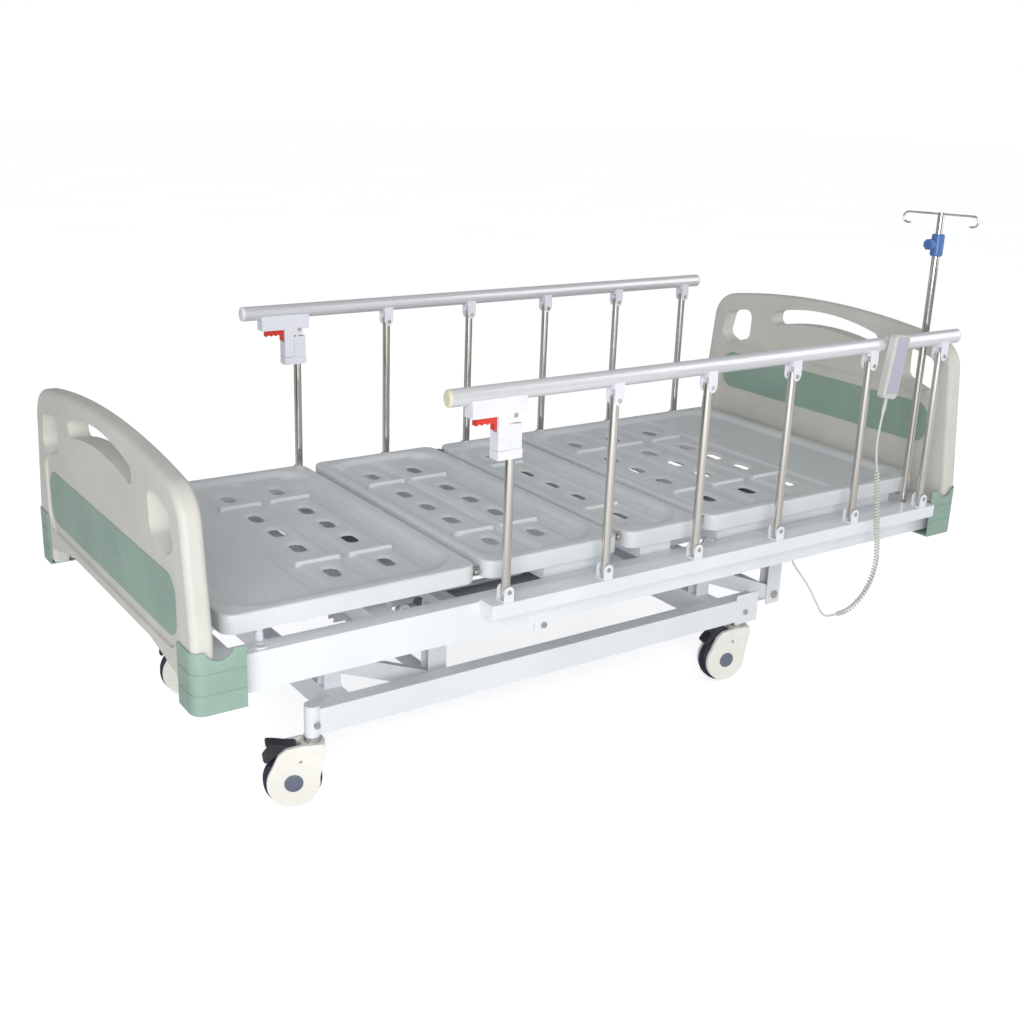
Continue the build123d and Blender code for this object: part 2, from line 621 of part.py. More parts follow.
def handrail(side):
    """Oval tube along the top of the rail."""
    outer = Ellipse(HANDRAIL_HALF_WIDTH, HANDRAIL_HALF_HEIGHT)
    inner = Ellipse(HANDRAIL_HALF_WIDTH - 2, HANDRAIL_HALF_HEIGHT - 2)
    length = HANDRAIL_X1 - HANDRAIL_X0
    return Pos(HANDRAIL_X0, side * RAIL_Y, HANDRAIL_Z) * extrude(Plane.YZ * (outer - inner), amount=length)


def handrail_cap(x, direction, side):
    """Plastic plug with a domed face in the end of a handrail."""
    face = Ellipse(HANDRAIL_HALF_WIDTH, HANDRAIL_HALF_HEIGHT)
    cap = extrude(Plane.YZ * face, amount=8 * direction)
    rim = cap.faces().sort_by(Axis.X)[-1 if direction > 0 else 0].edges()
    cap = fillet(rim, 5)
    plug = extrude(Plane.YZ * Ellipse(HANDRAIL_HALF_WIDTH - 2, HANDRAIL_HALF_HEIGHT - 2), amount=-15 * direction)
    return Pos(x, side * RAIL_Y, HANDRAIL_Z) * (cap + plug)


def handrail_saddle(x0, x1, side):
    """Block shaped to the underside of the handrail."""
    y = side * RAIL_Y
    saddle = box(x0, x1, y - 14.5, y + 14.5, HANDRAIL_Z - 22, HANDRAIL_Z - 8)
    hollow = extrude(Plane.YZ * Ellipse(HANDRAIL_HALF_WIDTH, HANDRAIL_HALF_HEIGHT), amount=x1 - x0 + 2)
    return saddle - Pos(x0 - 1, y, HANDRAIL_Z) * hollow


def post_clip(x, side):
    """U-shaped clip that holds the top of a post under the handrail."""
    clip = handrail_saddle(x - 12.5, x + 12.5, side)
    cheek = Pos(x, RAIL_TOP_PIN_Z + 13) * Rectangle(25, 26) + Pos(x, RAIL_TOP_PIN_Z) * Circle(11)
    for inner, outer in ((473.5, 476), (501, 503.5)):
        clip += plate_xz(cheek, *sorted((side * inner, side * outer)))
    return clip - rod_y(x, side * 470, side * 507, RAIL_TOP_PIN_Z, 4)


def latch_housing(side):
    """Upper half of the release latch, fixed under the handrail."""
    x = RAIL_POST_X[0]
    y = side * RAIL_Y
    housing = box(x - 101, x + 28, y - 15, y + 15, 858, 884)
    housing += box(x - 40, x - 14, y - 15, y + 15, 787, 860)
    housing += handrail_saddle(x - 101, x + 28, side)
    housing -= box(x - 13.8, x + 30, y - 12.2, y + 12.2, 780, RAIL_TOP_PIN_Z + 23)
    housing -= box(x - 15, x + 30, y - 16, y + 16, 780, 840)
    housing -= box(x - 96, x - 30, y - 8.5, y + 8.5, 824, 872)
    housing += box(x - 15, x + 10, *sorted((side * 500.7, side * 503.5)), 842, 860)
    housing += box(x - 15, x + 10, *sorted((side * 473.5, side * 476.3)), 842, 860)
    housing += rod_y(x - 36, y - 12, y + 12, 864, 2.5)
    return housing - rod_y(x, side * 470, side * 507, RAIL_TOP_PIN_Z, 3 + RUNNING_FIT)


def latch_trigger(side):
    """Red finger lever under the handrail; its finger side is scalloped."""
    x = RAIL_POST_X[0]
    y = side * RAIL_Y
    outline = make_face(Polyline((x - 88, 859), (x - 31, 871), (x - 31, 829), (x - 45, 829), (x - 45, 842),
                                 (x - 88, 842), close=True))
    for step in range(3):
        outline -= Pos(x - 80 + 13 * step, 838.5) * Circle(6.5)
    trigger = plate_xz(outline, y - 7.5, y + 7.5)
    return trigger - rod_y(x - 36, y - 12, y + 12, 864, 2.5 + RUNNING_FIT)


# =============================== end boards ===============================

def board_outline(apex_z, corner_z, lower_z):
    """Arched board outline on YZ with two legs at the bottom."""
    wide = BOARD_HALF_WIDTH
    top = BOARD_HALF_WIDTH - 36
    shoulder_z = 505
    right = [(top, corner_z), (wide, shoulder_z), (wide, BOARD_LEG_Z), (408, BOARD_LEG_Z), (396, lower_z - 25),
             (250, lower_z)]
    left = [(-y, z) for y, z in reversed(right)]
    sides = Polyline(*right, *left)
    arch = ThreePointArc((-top, corner_z), (0, apex_z), (top, corner_z))
    face = make_face(sides.edges() + arch.edges())
    corners = [v for v in face.vertices() if abs(v.Y - corner_z) < 1]
    face = fillet(corners, 84)
    shoulders = [v for v in face.vertices() if abs(v.Y - shoulder_z) < 1]
    face = fillet(shoulders, 160)
    arches = [v for v in face.vertices() if lower_z - 30 < v.Y < lower_z + 1]
    return fillet(arches, 24)


def grip_hole(side, drop):
    """Rounded hand-hole near a top corner of a board; drop lowers it with the arch."""
    corners = [(285, 842), (392, 820), (412, 745), (368, 726), (288, 752)]
    points = [(side * y, z - drop) for y, z in corners]
    face = make_face(Polyline(*points, close=True))
    return fillet(face.vertices(), 24)


def grip_slot(drop):
    """Long curved hand-hole under the middle of the arch."""
    top = ThreePointArc((-200, 848 - drop), (0, 876 - drop), (200, 848 - drop))
    bottom = ThreePointArc((200, 806 - drop), (0, 832 - drop), (-200, 806 - drop))
    ends = [Line(top @ 1, bottom @ 0), Line(bottom @ 1, top @ 0)]
    face = make_face(top.edges() + bottom.edges() + ends[0].edges() + ends[1].edges())
    return fillet(face.vertices(), 18)


def board_cavity(outline, holes):
    """Air space inside a blow-moulded board, kept a wall away from its edge and hand-holes."""
    cavity = extrude(Plane.YZ * offset(outline, amount=-BOARD_WALL), amount=BOARD_CAVITY)
    for hole in holes:
        cavity -= extrude(Plane.YZ * offset(hole, amount=BOARD_WALL), amount=BOARD_CAVITY)
    return Pos((BOARD_THICKNESS - BOARD_CAVITY) / 2, 0, 0) * cavity


def end_board(x0, apex_z, lower_z, drop):
    """Blow-moulded board: thick rounded rim, thinner field, hand-holes right through."""
    outline = board_outline(apex_z, apex_z - 42, lower_z)
    board = extrude(Plane.YZ * outline, amount=BOARD_THICKNESS)
    rims = board.edges().group_by(Axis.X)
    board = fillet(rims[0] + rims[-1], 14)
    field = Pos(0, (lower_z + 28 + apex_z - 178) / 2) * RectangleRounded(
        820, apex_z - 178 - lower_z - 28, 50)
    for face_x, depth in ((0, 6), (BOARD_THICKNESS, -6)):
        board -= Pos(face_x, 0, 0) * extrude(Plane.YZ * field, amount=depth)
    holes = (grip_hole(-1, drop), grip_hole(1, drop), grip_slot(drop))
    for hole in holes:
        board -= Pos(-1, 0, 0) * extrude(Plane.YZ * hole, amount=BOARD_THICKNESS + 2)
    return Pos(x0, 0, 0) * (board - board_cavity(outline, holes))


def board_inlay(x0, x1, z0, z1):
    """Coloured strip set in the field of a board."""
    strip = Pos(0, (z0 + z1) / 2) * RectangleRounded(790, z1 - z0, 42)
    return Pos(x0, 0, 0) * extrude(Plane.YZ * strip, amount=x1 - x0)


def rounded_post(x0, x1, y0, y1, z0, z1, corner):
    """A block whose upright edge at its first X and Y is rounded."""
    block = box(x0, x1, y0, y1, z0, z1)
    upright = [e for e in block.edges().filter_by(Axis.Z)
               if abs(e.center().X - x0) < 1 and abs(e.center().Y - y0) < 1]
    return fillet(upright, corner)


def corner_cover(end_x, inward):
    """Ribbed shoe over a frame corner and a board leg, drawn for -Y."""
    wall = COVER_WALL
    x_in = end_x + inward * COVER_LENGTH
    y0, y1 = COVER_Y
    z0, z1 = COVER_Z
    outer = rounded_post(end_x, x_in, y0, y1, z0, z1, COVER_CORNER)
    void = rounded_post(end_x + inward * wall, x_in + inward, y0 + wall, y1 + 1, z0 + wall, z1 + 1,
                        COVER_CORNER - wall)
    cover = outer - void
    for z in COVER_GROOVES_Z:
        band = box(end_x - inward, x_in + inward, y0 - 1, y1 + 1, z, z + 3)
        core = rounded_post(end_x + inward, x_in + 2 * inward, y0 + 1, y1 + 2, z - 1, z + 4, COVER_CORNER - 1)
        cover -= band - core
    dip = Pos((end_x + x_in) / 2, -450, z1 + 10) * Rot(90, 0, 0) * Cylinder(30, 100)
    return cover - dip


# =============================== drip pole ===============================

def pole_outer():
    """Lower tube standing in the head-end socket."""
    y = -SOCKET_Y
    tube = rod_z(SOCKET_X, y, FRAME_Z0 + 10, POLE_COLLAR_Z0 + 30, POLE_RADIUS)
    return tube - rod_z(SOCKET_X, y, FRAME_Z0 + 20, POLE_COLLAR_Z1, POLE_INNER_RADIUS + RUNNING_FIT)


def pole_collar():
    """Plastic clamp collar with a boss for the knob."""
    y = -SOCKET_Y
    collar = rod_z(SOCKET_X, y, POLE_COLLAR_Z0, POLE_COLLAR_Z1, 15.5)
    collar = chamfer(collar.edges().filter_by(GeomType.CIRCLE), 3)
    collar += rod_x(SOCKET_X - 22, SOCKET_X - 8, y, POLE_KNOB_Z, 9)
    collar -= rod_z(SOCKET_X, y, POLE_COLLAR_Z0 - 1, POLE_COLLAR_Z0 + 30, POLE_RADIUS)
    collar -= rod_z(SOCKET_X, y, POLE_COLLAR_Z0, POLE_COLLAR_Z1 + 1, POLE_INNER_RADIUS + RUNNING_FIT)
    return collar - rod_x(SOCKET_X - 30, SOCKET_X - 12, y, POLE_KNOB_Z, 4 + RUNNING_FIT)


def pole_knob():
    """Clamp knob screwed into the collar."""
    y = -SOCKET_Y
    knob = rod_x(SOCKET_X - 38, SOCKET_X - 22.3, y, POLE_KNOB_Z, 13)
    for step in range(8):
        angle = math.radians(45 * step)
        flute_y = y + 15 * math.cos(angle)
        flute_z = POLE_KNOB_Z + 15 * math.sin(angle)
        knob -= rod_x(SOCKET_X - 39, SOCKET_X - 22, flute_y, flute_z, 3.5)
    return knob + rod_x(SOCKET_X - 23, SOCKET_X - 13, y, POLE_KNOB_Z, 4)


def pole_hook_wire():
    """Bent wire with an open ring at each end, centred on the origin along Y."""
    wire = rod_y(0, -HOOK_REACH, HOOK_REACH, 0, 2.5)
    for side in SIDES:
        loop = Rot(0, 90, 0) * Torus(HOOK_RING_RADIUS, 2.5)
        gap = box(-6, 6, *sorted((-side * 4, -side * 20)), -12, 4)
        wire += Pos(0, side * HOOK_REACH, -HOOK_RING_RADIUS) * (loop - gap)
    return wire


def pole_inner():
    """Telescoping inner tube with the bag hooks."""
    y = -SOCKET_Y
    tube = rod_z(SOCKET_X, y, 560, POLE_TOP_Z, POLE_INNER_RADIUS)
    return tube + Pos(SOCKET_X, y, POLE_TOP_Z - 3) * Rot(0, 0, HOOK_TURN) * pole_hook_wire()


# =============================== handset and cord ===============================

def handset():
    """Hand control hung on the handrail by a hook on its back."""
    body = Box(*HANDSET_SIZE)
    body = fillet(body.edges().filter_by(Axis.Y), 13)
    body = fillet(body.faces().sort_by(Axis.Y)[0].edges(), 6)
    body -= Pos(0, -11, 4) * Box(40, 1.6, 138)
    keypad = Pos(0, -10.7, 4) * fillet(Box(39.6, 1.0, 137.6).edges().filter_by(Axis.Y), 9)
    place = Pos(*HANDSET_CENTRE) * Rot(0, HANDSET_LEAN, 0)
    shell = place * body
    hook_x0, hook_x1 = HANDSET_HOOK_X
    hook_shape = Ellipse(18.2, 21.2) - Ellipse(15.1, 18.1)
    hook = Pos(hook_x0, -RAIL_Y, HANDRAIL_Z) * extrude(Plane.YZ * hook_shape, amount=hook_x1 - hook_x0)
    hook -= box(hook_x0 - 1, hook_x1 + 1, -480, -RAIL_Y, HANDRAIL_Z - 30, HANDRAIL_Z - 6)
    hook -= box(hook_x0 - 1, hook_x1 + 1, -480, -460, HANDRAIL_Z - 30, HANDRAIL_Z + 2)
    hook -= shell
    strain = place * (Pos(-2, 0, -87) * Cylinder(4.5, 18))
    return shell + strain + hook, place * keypad


def cord_tube(points, radius):
    """A round cord along straight runs joined by tangent arcs."""
    radii = []
    for before, corner, after in zip(points, points[1:], points[2:]):
        first = Vector(*corner) - Vector(*before)
        second = Vector(*after) - Vector(*corner)
        half_turn = math.radians(first.get_angle(second)) / 2
        radii.append(0.45 * min(first.length, second.length) / math.tan(half_turn))
    route = FilletPolyline(*points, radius=radii)
    start = Plane(origin=points[0], z_dir=Vector(*points[1]) - Vector(*points[0]))
    cord = sweep(start * Circle(radius), path=route)
    print("cord radii", [round(r) for r in radii], "length", round(route.length),
          "volume ratio", round(cord.volume / (math.pi * radius ** 2 * route.length), 3))
    return cord


COIL_TOP = (687, -521, 602)
COIL_END = (618, -503, 216)
UPPER_LEAD = [(692.0, -517, 758.5), (683.9, -517, 707.1), (675.5, -521, 656.8), COIL_TOP]
COIL = [COIL_TOP, (700, -521, 540), (712, -520.5, 470), (727, -520, 402), (736, -519, 342), (725, -517, 288),
        (697, -513, 244), (655, -508, 216), COIL_END]
LOWER_LEAD = [COIL_END, (582.3, -498.2, 216), (566, -488, 250), (559, -466, 286), (556, -432, 315.6),
              (556, -395, 337), CORD_EXIT]


def control_box():
    """Box with the mains unit and the socket of the handset cord."""
    unit = box(*CONTROL_BOX_X, -FRAME_Y_IN, CONTROL_BOX_Y, *CONTROL_BOX_Z)
    unit = fillet(unit.edges().filter_by(Axis.Y), 6)
    gland = rod_z(*CORD_EXIT, CONTROL_BOX_Z[0] + 1, 6)
    inlet = rod_x(CONTROL_BOX_X[1] - 2, CONTROL_BOX_X[1] + 12, -350, 412, 9)
    return unit + gland + inlet


# =============================== bolts ===============================

def post_bolt(x, side):
    """Hex bolt through the outer flange of a hanging post into the lift arm."""
    bolt = rod_y(x, side * 226, side * 251, LIFT_TOP_Z, LIFT_PIN_RADIUS)
    head = Pos(x, side * 253.5, LIFT_TOP_Z) * Rot(90, 0, 0) * extrude(RegularPolygon(11, 6), amount=3.5, both=True)
    return bolt + head


def plate_bolt(side):
    """Bolt of a rail hanger plate."""
    x, z = HANGER_BOLT
    return rod_y(x, side * 452, side * 459, z, 4) + rod_y(x, side * 459, side * 463, z, 7)


# =============================== writing the parts ===============================

save("base_frame", base_frame())
base_bits = [castor_stem(x, y) for name, x, y, heading in castor_places()]
base_bits += [lift_base_pin(x, side) for x in (BASE_CROSS_FOOT_X, BASE_CROSS_HEAD_X) for side in SIDES]
save("base_fasteners", *base_bits)

housing, wheel, pedal = castor_housing(), castor_wheel(), castor_pedal()
for name, x, y, heading in castor_places():
    place = Pos(x, y, 0) * Rot(0, 0, heading)
    save("castor_housing_" + name, place * housing)
    save("castor_wheel_" + name, place * wheel)
    save("castor_pedal_" + name, place * pedal)

save("foot_lift_arm", lift_arm_pair(BASE_CROSS_FOOT_X, False) + height_lever())
save("head_lift_arm", lift_arm_pair(BASE_CROSS_HEAD_X, True))
save("lift_tie_bar", lift_tie_bar())
save("upper_frame", upper_frame())

seat_x0 = THIGH_HINGE[0] + DECK_GAP / 2
seat_x1 = BACK_HINGE[0] - DECK_GAP / 2
thigh_x0 = KNEE_HINGE[0] + DECK_GAP / 2
thigh_x1 = THIGH_HINGE[0] - DECK_GAP / 2
seat = deck_pan(seat_x0, seat_x1, SEAT_HOLES_X)
for lug in hinge_lugs(BACK_HINGE, seat_x1, True) + hinge_lugs(THIGH_HINGE, seat_x0, True):
    seat += lug
save("seat_deck", seat)
back = deck_pan(seat_x1 + DECK_GAP, DECK_HEAD_X, BACK_HOLES_X)
for lug in hinge_lugs(BACK_HINGE, seat_x1 + DECK_GAP, False):
    back += lug
save("back_deck", back)
thigh = deck_pan(thigh_x0, thigh_x1, THIGH_HOLES_X)
for lug in hinge_lugs(THIGH_HINGE, thigh_x1, False) + hinge_lugs(KNEE_HINGE, thigh_x0, True):
    thigh += lug
save("thigh_deck", thigh)
calf = deck_pan(DECK_FOOT_X, KNEE_HINGE[0] - DECK_GAP / 2, CALF_HOLES_X)
for lug in hinge_lugs(KNEE_HINGE, KNEE_HINGE[0] - DECK_GAP / 2, False):
    calf += lug
save("calf_deck", calf, *[calf_bumper(side) for side in SIDES])
save("back_frame", back_frame())
save("thigh_frame", thigh_frame())

back_start = 740 - ACTUATOR_TONGUE - ACTUATOR_MOTOR
knee_start = -611 + ACTUATOR_TONGUE + ACTUATOR_MOTOR
height_start = HEIGHT_BRACKET_X - ACTUATOR_TONGUE - ACTUATOR_MOTOR
save("actuator_bodies",
     actuator_body(back_start, -1, BACK_ACTUATOR_Y, ACTUATOR_Z),
     actuator_body(knee_start, 1, KNEE_ACTUATOR_Y, ACTUATOR_Z),
     actuator_body(height_start, -1, 0, HEIGHT_ACTUATOR_Z))
back_pin = BACK_HINGE[0] - yoke_offset(YOKE_HEIGHT, BACK_SWING_DEG)
knee_pin = THIGH_HINGE[0] + yoke_offset(YOKE_HEIGHT, THIGH_SWING_DEG)
height_pin = BASE_CROSS_FOOT_X + LIFT_REACH_X + yoke_offset(HEIGHT_ACTUATOR_Z - LIFT_TOP_Z, LIFT_SWING_DEG)
save("back_actuator_rod", actuator_rod(back_pin, back_start - 200, BACK_ACTUATOR_Y, ACTUATOR_Z, -1))
save("knee_actuator_rod", actuator_rod(knee_pin, knee_start + 200, KNEE_ACTUATOR_Y, ACTUATOR_Z, 1))
save("height_actuator_rod", actuator_rod(height_pin, height_start - 120, 0, HEIGHT_ACTUATOR_Z, -1))

save("rail_channels",
     *[rail_channel(side) for side in SIDES],
     *[rail_clevis(x, side) for side in SIDES for x in RAIL_POST_X])


fasteners = [rail_pin(x, side) for side in SIDES for x in RAIL_POST_X]
for base_x in (BASE_CROSS_FOOT_X, BASE_CROSS_HEAD_X):
    fasteners += [post_bolt(base_x + LIFT_REACH_X, side) for side in SIDES]
fasteners += [plate_bolt(side) for side in SIDES]
save("upper_fasteners", *fasteners)

for label, side in (("left", -1), ("right", 1)):
    for number, x in enumerate(RAIL_POST_X, start=1):
        extra = [latch_sleeve(side)] if number == 1 else []
        save(f"{label}_rail_post_{number}", rail_post(x, side), *extra)
    save(label + "_handrail", handrail(side))
    save(label + "_rail_fittings",
         handrail_cap(HANDRAIL_X0, -1, side),
         handrail_cap(HANDRAIL_X1, 1, side),
         latch_housing(side),
         *[post_clip(x, side) for x in RAIL_POST_X[1:]])
    save(label + "_latch_trigger", latch_trigger(side))

save("footboard", end_board(FOOTBOARD_X0, 820, 428, FOOTBOARD_DROP))
save("headboard", end_board(HEADBOARD_X0, 905, 440, 0))
foot_in, head_in = FOOTBOARD_X0 + BOARD_THICKNESS, HEADBOARD_X0 + BOARD_THICKNESS
save("board_inlays",
     board_inlay(FOOTBOARD_X0 + 4, FOOTBOARD_X0 + 6, *FOOT_INLAY_Z),
     board_inlay(foot_in - 6, foot_in - 4, *FOOT_INLAY_Z),
     board_inlay(HEADBOARD_X0 + 4, HEADBOARD_X0 + 6, *HEAD_INLAY_Z),
     board_inlay(head_in - 6, head_in - 4, *HEAD_INLAY_Z))
near_foot_cover = corner_cover(FOOTBOARD_X0 - 4, 1)
near_head_cover = corner_cover(head_in + 4, -1)
save("corner_covers", near_foot_cover, mirror_y(near_foot_cover), near_head_cover, mirror_y(near_head_cover))

save("iv_pole_outer", pole_outer())
save("iv_pole_collar", pole_collar())
save("iv_pole_knob", pole_knob())
save("iv_pole_inner", pole_inner())
save("handset", *handset())
save("handset_cord_leads", cord_tube(UPPER_LEAD, LEAD_RADIUS), cord_tube(LOWER_LEAD, LEAD_RADIUS))
save("handset_cord_coil", cord_tube(COIL, COIL_RADIUS))
save("control_box", control_box())
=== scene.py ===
import json
import math

import bmesh
import bpy
from mathutils import Matrix, Vector


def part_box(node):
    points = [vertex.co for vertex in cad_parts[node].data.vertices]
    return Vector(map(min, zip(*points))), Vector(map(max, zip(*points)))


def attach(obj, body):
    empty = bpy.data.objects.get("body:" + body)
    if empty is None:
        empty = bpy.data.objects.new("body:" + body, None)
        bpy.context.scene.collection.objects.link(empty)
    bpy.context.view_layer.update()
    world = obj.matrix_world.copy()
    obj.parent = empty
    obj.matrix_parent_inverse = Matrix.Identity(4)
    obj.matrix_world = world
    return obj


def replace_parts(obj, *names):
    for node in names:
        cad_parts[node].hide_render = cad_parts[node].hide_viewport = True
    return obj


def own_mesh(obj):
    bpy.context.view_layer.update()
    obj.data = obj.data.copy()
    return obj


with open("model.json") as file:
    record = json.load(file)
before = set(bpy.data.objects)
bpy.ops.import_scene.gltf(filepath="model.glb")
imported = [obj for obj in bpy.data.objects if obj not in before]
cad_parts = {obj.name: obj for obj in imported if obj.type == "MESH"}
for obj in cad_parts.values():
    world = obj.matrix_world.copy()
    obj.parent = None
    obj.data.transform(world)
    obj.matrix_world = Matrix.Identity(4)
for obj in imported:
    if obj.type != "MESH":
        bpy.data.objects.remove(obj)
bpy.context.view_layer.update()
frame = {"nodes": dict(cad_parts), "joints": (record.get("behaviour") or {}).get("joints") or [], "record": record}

# Looks of an adjustable hospital bed. Metres, +X to the head end, -Y the side of the handset.

nodes = frame["nodes"]
CASTORS = ("foot_left", "foot_right", "head_left", "head_right")
RAIL_SIDES = {"left": -1, "right": 1}

# ---- deck pans, which replace the plain CAD pans ----
LUG_REACH = 0.021
DECK_HALF_WIDTH = 0.418
DECK_TOP_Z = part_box("back_deck")[1].z
SKIRT_DEPTH = 0.039
SHEET = 0.0015
EDGE_ROUNDING = 0.005
PAN_CORNER = 0.030
RIM_WIDTH = 0.022
RIM_SLOPE = 0.024
FIELD_DEPTH = 0.011
FIELD_CORNER = 0.085
CHANNEL_DEPTH = 0.0045
CHANNEL_HALF_WIDTH = 0.015
CHANNEL_SIDE = 0.009
CHANNEL_END_GAP = 0.055
BAR_HEIGHT = 0.0065
BAR_HALF = (0.050, 0.006)
BAR_SIDE = 0.0035
BAR_ROWS = (-0.203, 0.203)
HOLE_ROWS = (-0.275, -0.110, 0.0, 0.110, 0.275)
HOLE_RADIUS = 0.015
HOLE_HALF_STRAIGHT = 0.011
HOLE_DISH = 0.003
HOLE_DISH_REACH = 0.007
HOLE_RINGS = 5
# half size of the window left in the grid round a hole, and the size of a grid cell
WINDOW = (0.024, 0.035)
CELL = 0.006
# node, body, x of the hole columns, x of the pressed channels
PANS = (
    ("calf_deck", "calf_section", (-0.682, -0.556), (-0.745, -0.619, -0.488)),
    ("thigh_deck", "thigh_section", (-0.290, -0.167), (-0.346, -0.2285, -0.108)),
    ("seat_deck", "bed_frame", (0.076,), (0.012, 0.140)),
    ("back_deck", "back_section", (0.360, 0.496, 0.634), (0.300, 0.428, 0.565, 0.697)),
)

# ---- deck hinges ----
# label, x, z, body that holds the pin, body that turns, which way along X the holding body lies
HINGES = (
    ("back", 0.229, 0.503, "bed_frame", "back_section", -1),
    ("thigh", -0.020, 0.503, "bed_frame", "thigh_section", 1),
    ("knee", -0.403, 0.490, "thigh_section", "calf_section", 1),
)
EAR_REACH = 0.012
EAR_OVERLAP = 0.003
EAR_RADIUS = 0.009
EAR_THICKNESS = 0.004
FIXED_EAR_Y = 0.386
MOVING_EAR_Y = 0.392

# ---- the handset's cord; the same route as the CAD solids ----
CORD_DIAMETER = 0.0055
COIL_DIAMETER = 0.015
COIL_PITCH = 0.0085
COIL_POINTS_PER_TURN = 12
COIL_LEAD_IN = 0.015
COIL_TOP = (0.687, -0.521, 0.602)
COIL_END = (0.618, -0.503, 0.216)
CORD_EXIT = (0.556, -0.395, 0.372)
UPPER_LEAD = [(0.692, -0.517, 0.7585), (0.6839, -0.517, 0.7071), (0.6755, -0.521, 0.6568), COIL_TOP]
COIL = [COIL_TOP, (0.700, -0.521, 0.540), (0.712, -0.5205, 0.470), (0.727, -0.520, 0.402),
        (0.736, -0.519, 0.342), (0.725, -0.517, 0.288), (0.697, -0.513, 0.244), (0.655, -0.508, 0.216),
        COIL_END]
LOWER_LEAD = [COIL_END, (0.5823, -0.4982, 0.216), (0.566, -0.488, 0.250), (0.559, -0.466, 0.286),
              (0.556, -0.432, 0.3156), (0.556, -0.395, 0.337), CORD_EXIT]

CORD_SLEEVE_LENGTH = 0.024
CORD_SLEEVE_RINGS = 6

# ---- handset, latch sleeves and castors; the same sizes as the CAD ----
HANDSET_CENTRE = (0.709, -0.517, 0.853)
HANDSET_LEAN = 9
MEMBRANE_HALF = (0.0199, 0.0690)
MEMBRANE_DEPTH = -0.0101
MEMBRANE_RISE = 0.004
KEY_SPACING = (0.019, 0.024)
FIRST_KEY = (-0.0112, 0.046)
POST_1 = (-0.393, 0.4885)
POST_RADIUS = 0.0105
LATCH_SLEEVE_Z = (0.766, 0.839)
HANDRAIL_CAP_X = -0.5371
CALF_FOOT = (-0.905, 0.406)
HUB_CAP_OFFSET = 0.0275
RIVET_OFFSET = (0.015, 0.0495, 0.027)

# ---- studio ----
SKY_STRENGTH = 0.42
FLOOR_GLOW = 0.62
LIGHT_TARGET = (0.0, 0.0, 0.5)
# name, place, size, power
LIGHTS = (("key", (-3.0, -4.2, 1.8), 3.2, 180), ("fill", (3.6, -2.6, 2.0), 3.0, 35))
CAMERA_PLACE = (-1.824, -2.548, 1.494)
CAMERA_YAW = 34.97
CAMERA_PITCH = 18.58
CAMERA_ROLL = 2.08
CAMERA_LENS = 45.87


# =============================== materials ===============================

class Shader:
    """A Principled material and short ways to drive its inputs from object-space patterns."""

    def __init__(self, name, metallic=0.0, specular=0.5, coat=0.0, coat_roughness=0.1, subsurface=0.0):
        self.material = bpy.data.materials.new(name)
        self.material.use_nodes = True
        self.tree = self.material.node_tree
        self.surface = self.tree.nodes["Principled BSDF"]
        self.surface.inputs["Metallic"].default_value = metallic
        self.surface.inputs["Specular IOR Level"].default_value = specular
        self.surface.inputs["Coat Weight"].default_value = coat
        self.surface.inputs["Coat Roughness"].default_value = coat_roughness
        self.surface.inputs["Subsurface Weight"].default_value = subsurface
        self.place = self.tree.nodes.new("ShaderNodeTexCoord").outputs["Object"]
        self.height = None

    def link(self, output, target):
        self.tree.links.new(output, target)
        return self

    def noise(self, scale, detail=4.0, stretch=(1, 1, 1)):
        """A soft noise, drawn out along an axis where stretch is small."""
        mapping = self.tree.nodes.new("ShaderNodeMapping")
        mapping.inputs["Scale"].default_value = stretch
        self.link(self.place, mapping.inputs["Vector"])
        texture = self.tree.nodes.new("ShaderNodeTexNoise")
        texture.inputs["Scale"].default_value = scale
        texture.inputs["Detail"].default_value = detail
        self.link(mapping.outputs["Vector"], texture.inputs["Vector"])
        return texture.outputs["Fac"]

    def cells(self, scale):
        """A pebbled pattern, as on moulded grain."""
        texture = self.tree.nodes.new("ShaderNodeTexVoronoi")
        texture.inputs["Scale"].default_value = scale
        self.link(self.place, texture.inputs["Vector"])
        return texture.outputs["Distance"]

    def colour(self, low, high, pattern, start=0.35, end=0.65):
        """Base colour that drifts between two close colours."""
        ramp = self.tree.nodes.new("ShaderNodeValToRGB")
        ramp.color_ramp.elements[0].position = start
        ramp.color_ramp.elements[1].position = end
        ramp.color_ramp.elements[0].color = (*low, 1)
        ramp.color_ramp.elements[1].color = (*high, 1)
        self.link(pattern, ramp.inputs["Fac"])
        return self.link(ramp.outputs["Color"], self.surface.inputs["Base Color"])

    def roughness(self, low, high, pattern):
        """Roughness that drifts between two values."""
        spread = self.tree.nodes.new("ShaderNodeMapRange")
        spread.inputs["From Min"].default_value = 0.3
        spread.inputs["From Max"].default_value = 0.7
        spread.inputs["To Min"].default_value = low
        spread.inputs["To Max"].default_value = high
        self.link(pattern, spread.inputs["Value"])
        return self.link(spread.outputs["Result"], self.surface.inputs["Roughness"])

    def bump(self, strength, distance, pattern):
        """Surface relief; several calls stack."""
        relief = self.tree.nodes.new("ShaderNodeBump")
        relief.inputs["Strength"].default_value = strength
        relief.inputs["Distance"].default_value = distance
        self.link(pattern, relief.inputs["Height"])
        if self.height is not None:
            self.link(self.height, relief.inputs["Normal"])
        self.height = relief.outputs["Normal"]
        return self.link(self.height, self.surface.inputs["Normal"])


def powder_coat(name, low, high, rough):
    """Baked powder paint: faint orange peel and a slow drift of gloss."""
    shader = Shader(name, specular=0.45, coat=0.12, coat_roughness=0.25)
    shader.colour(low, high, shader.noise(5.0))
    shader.roughness(rough - 0.05, rough + 0.07, shader.noise(24.0))
    shader.bump(0.10, 0.0006, shader.noise(420.0, 2.0))
    return shader.material


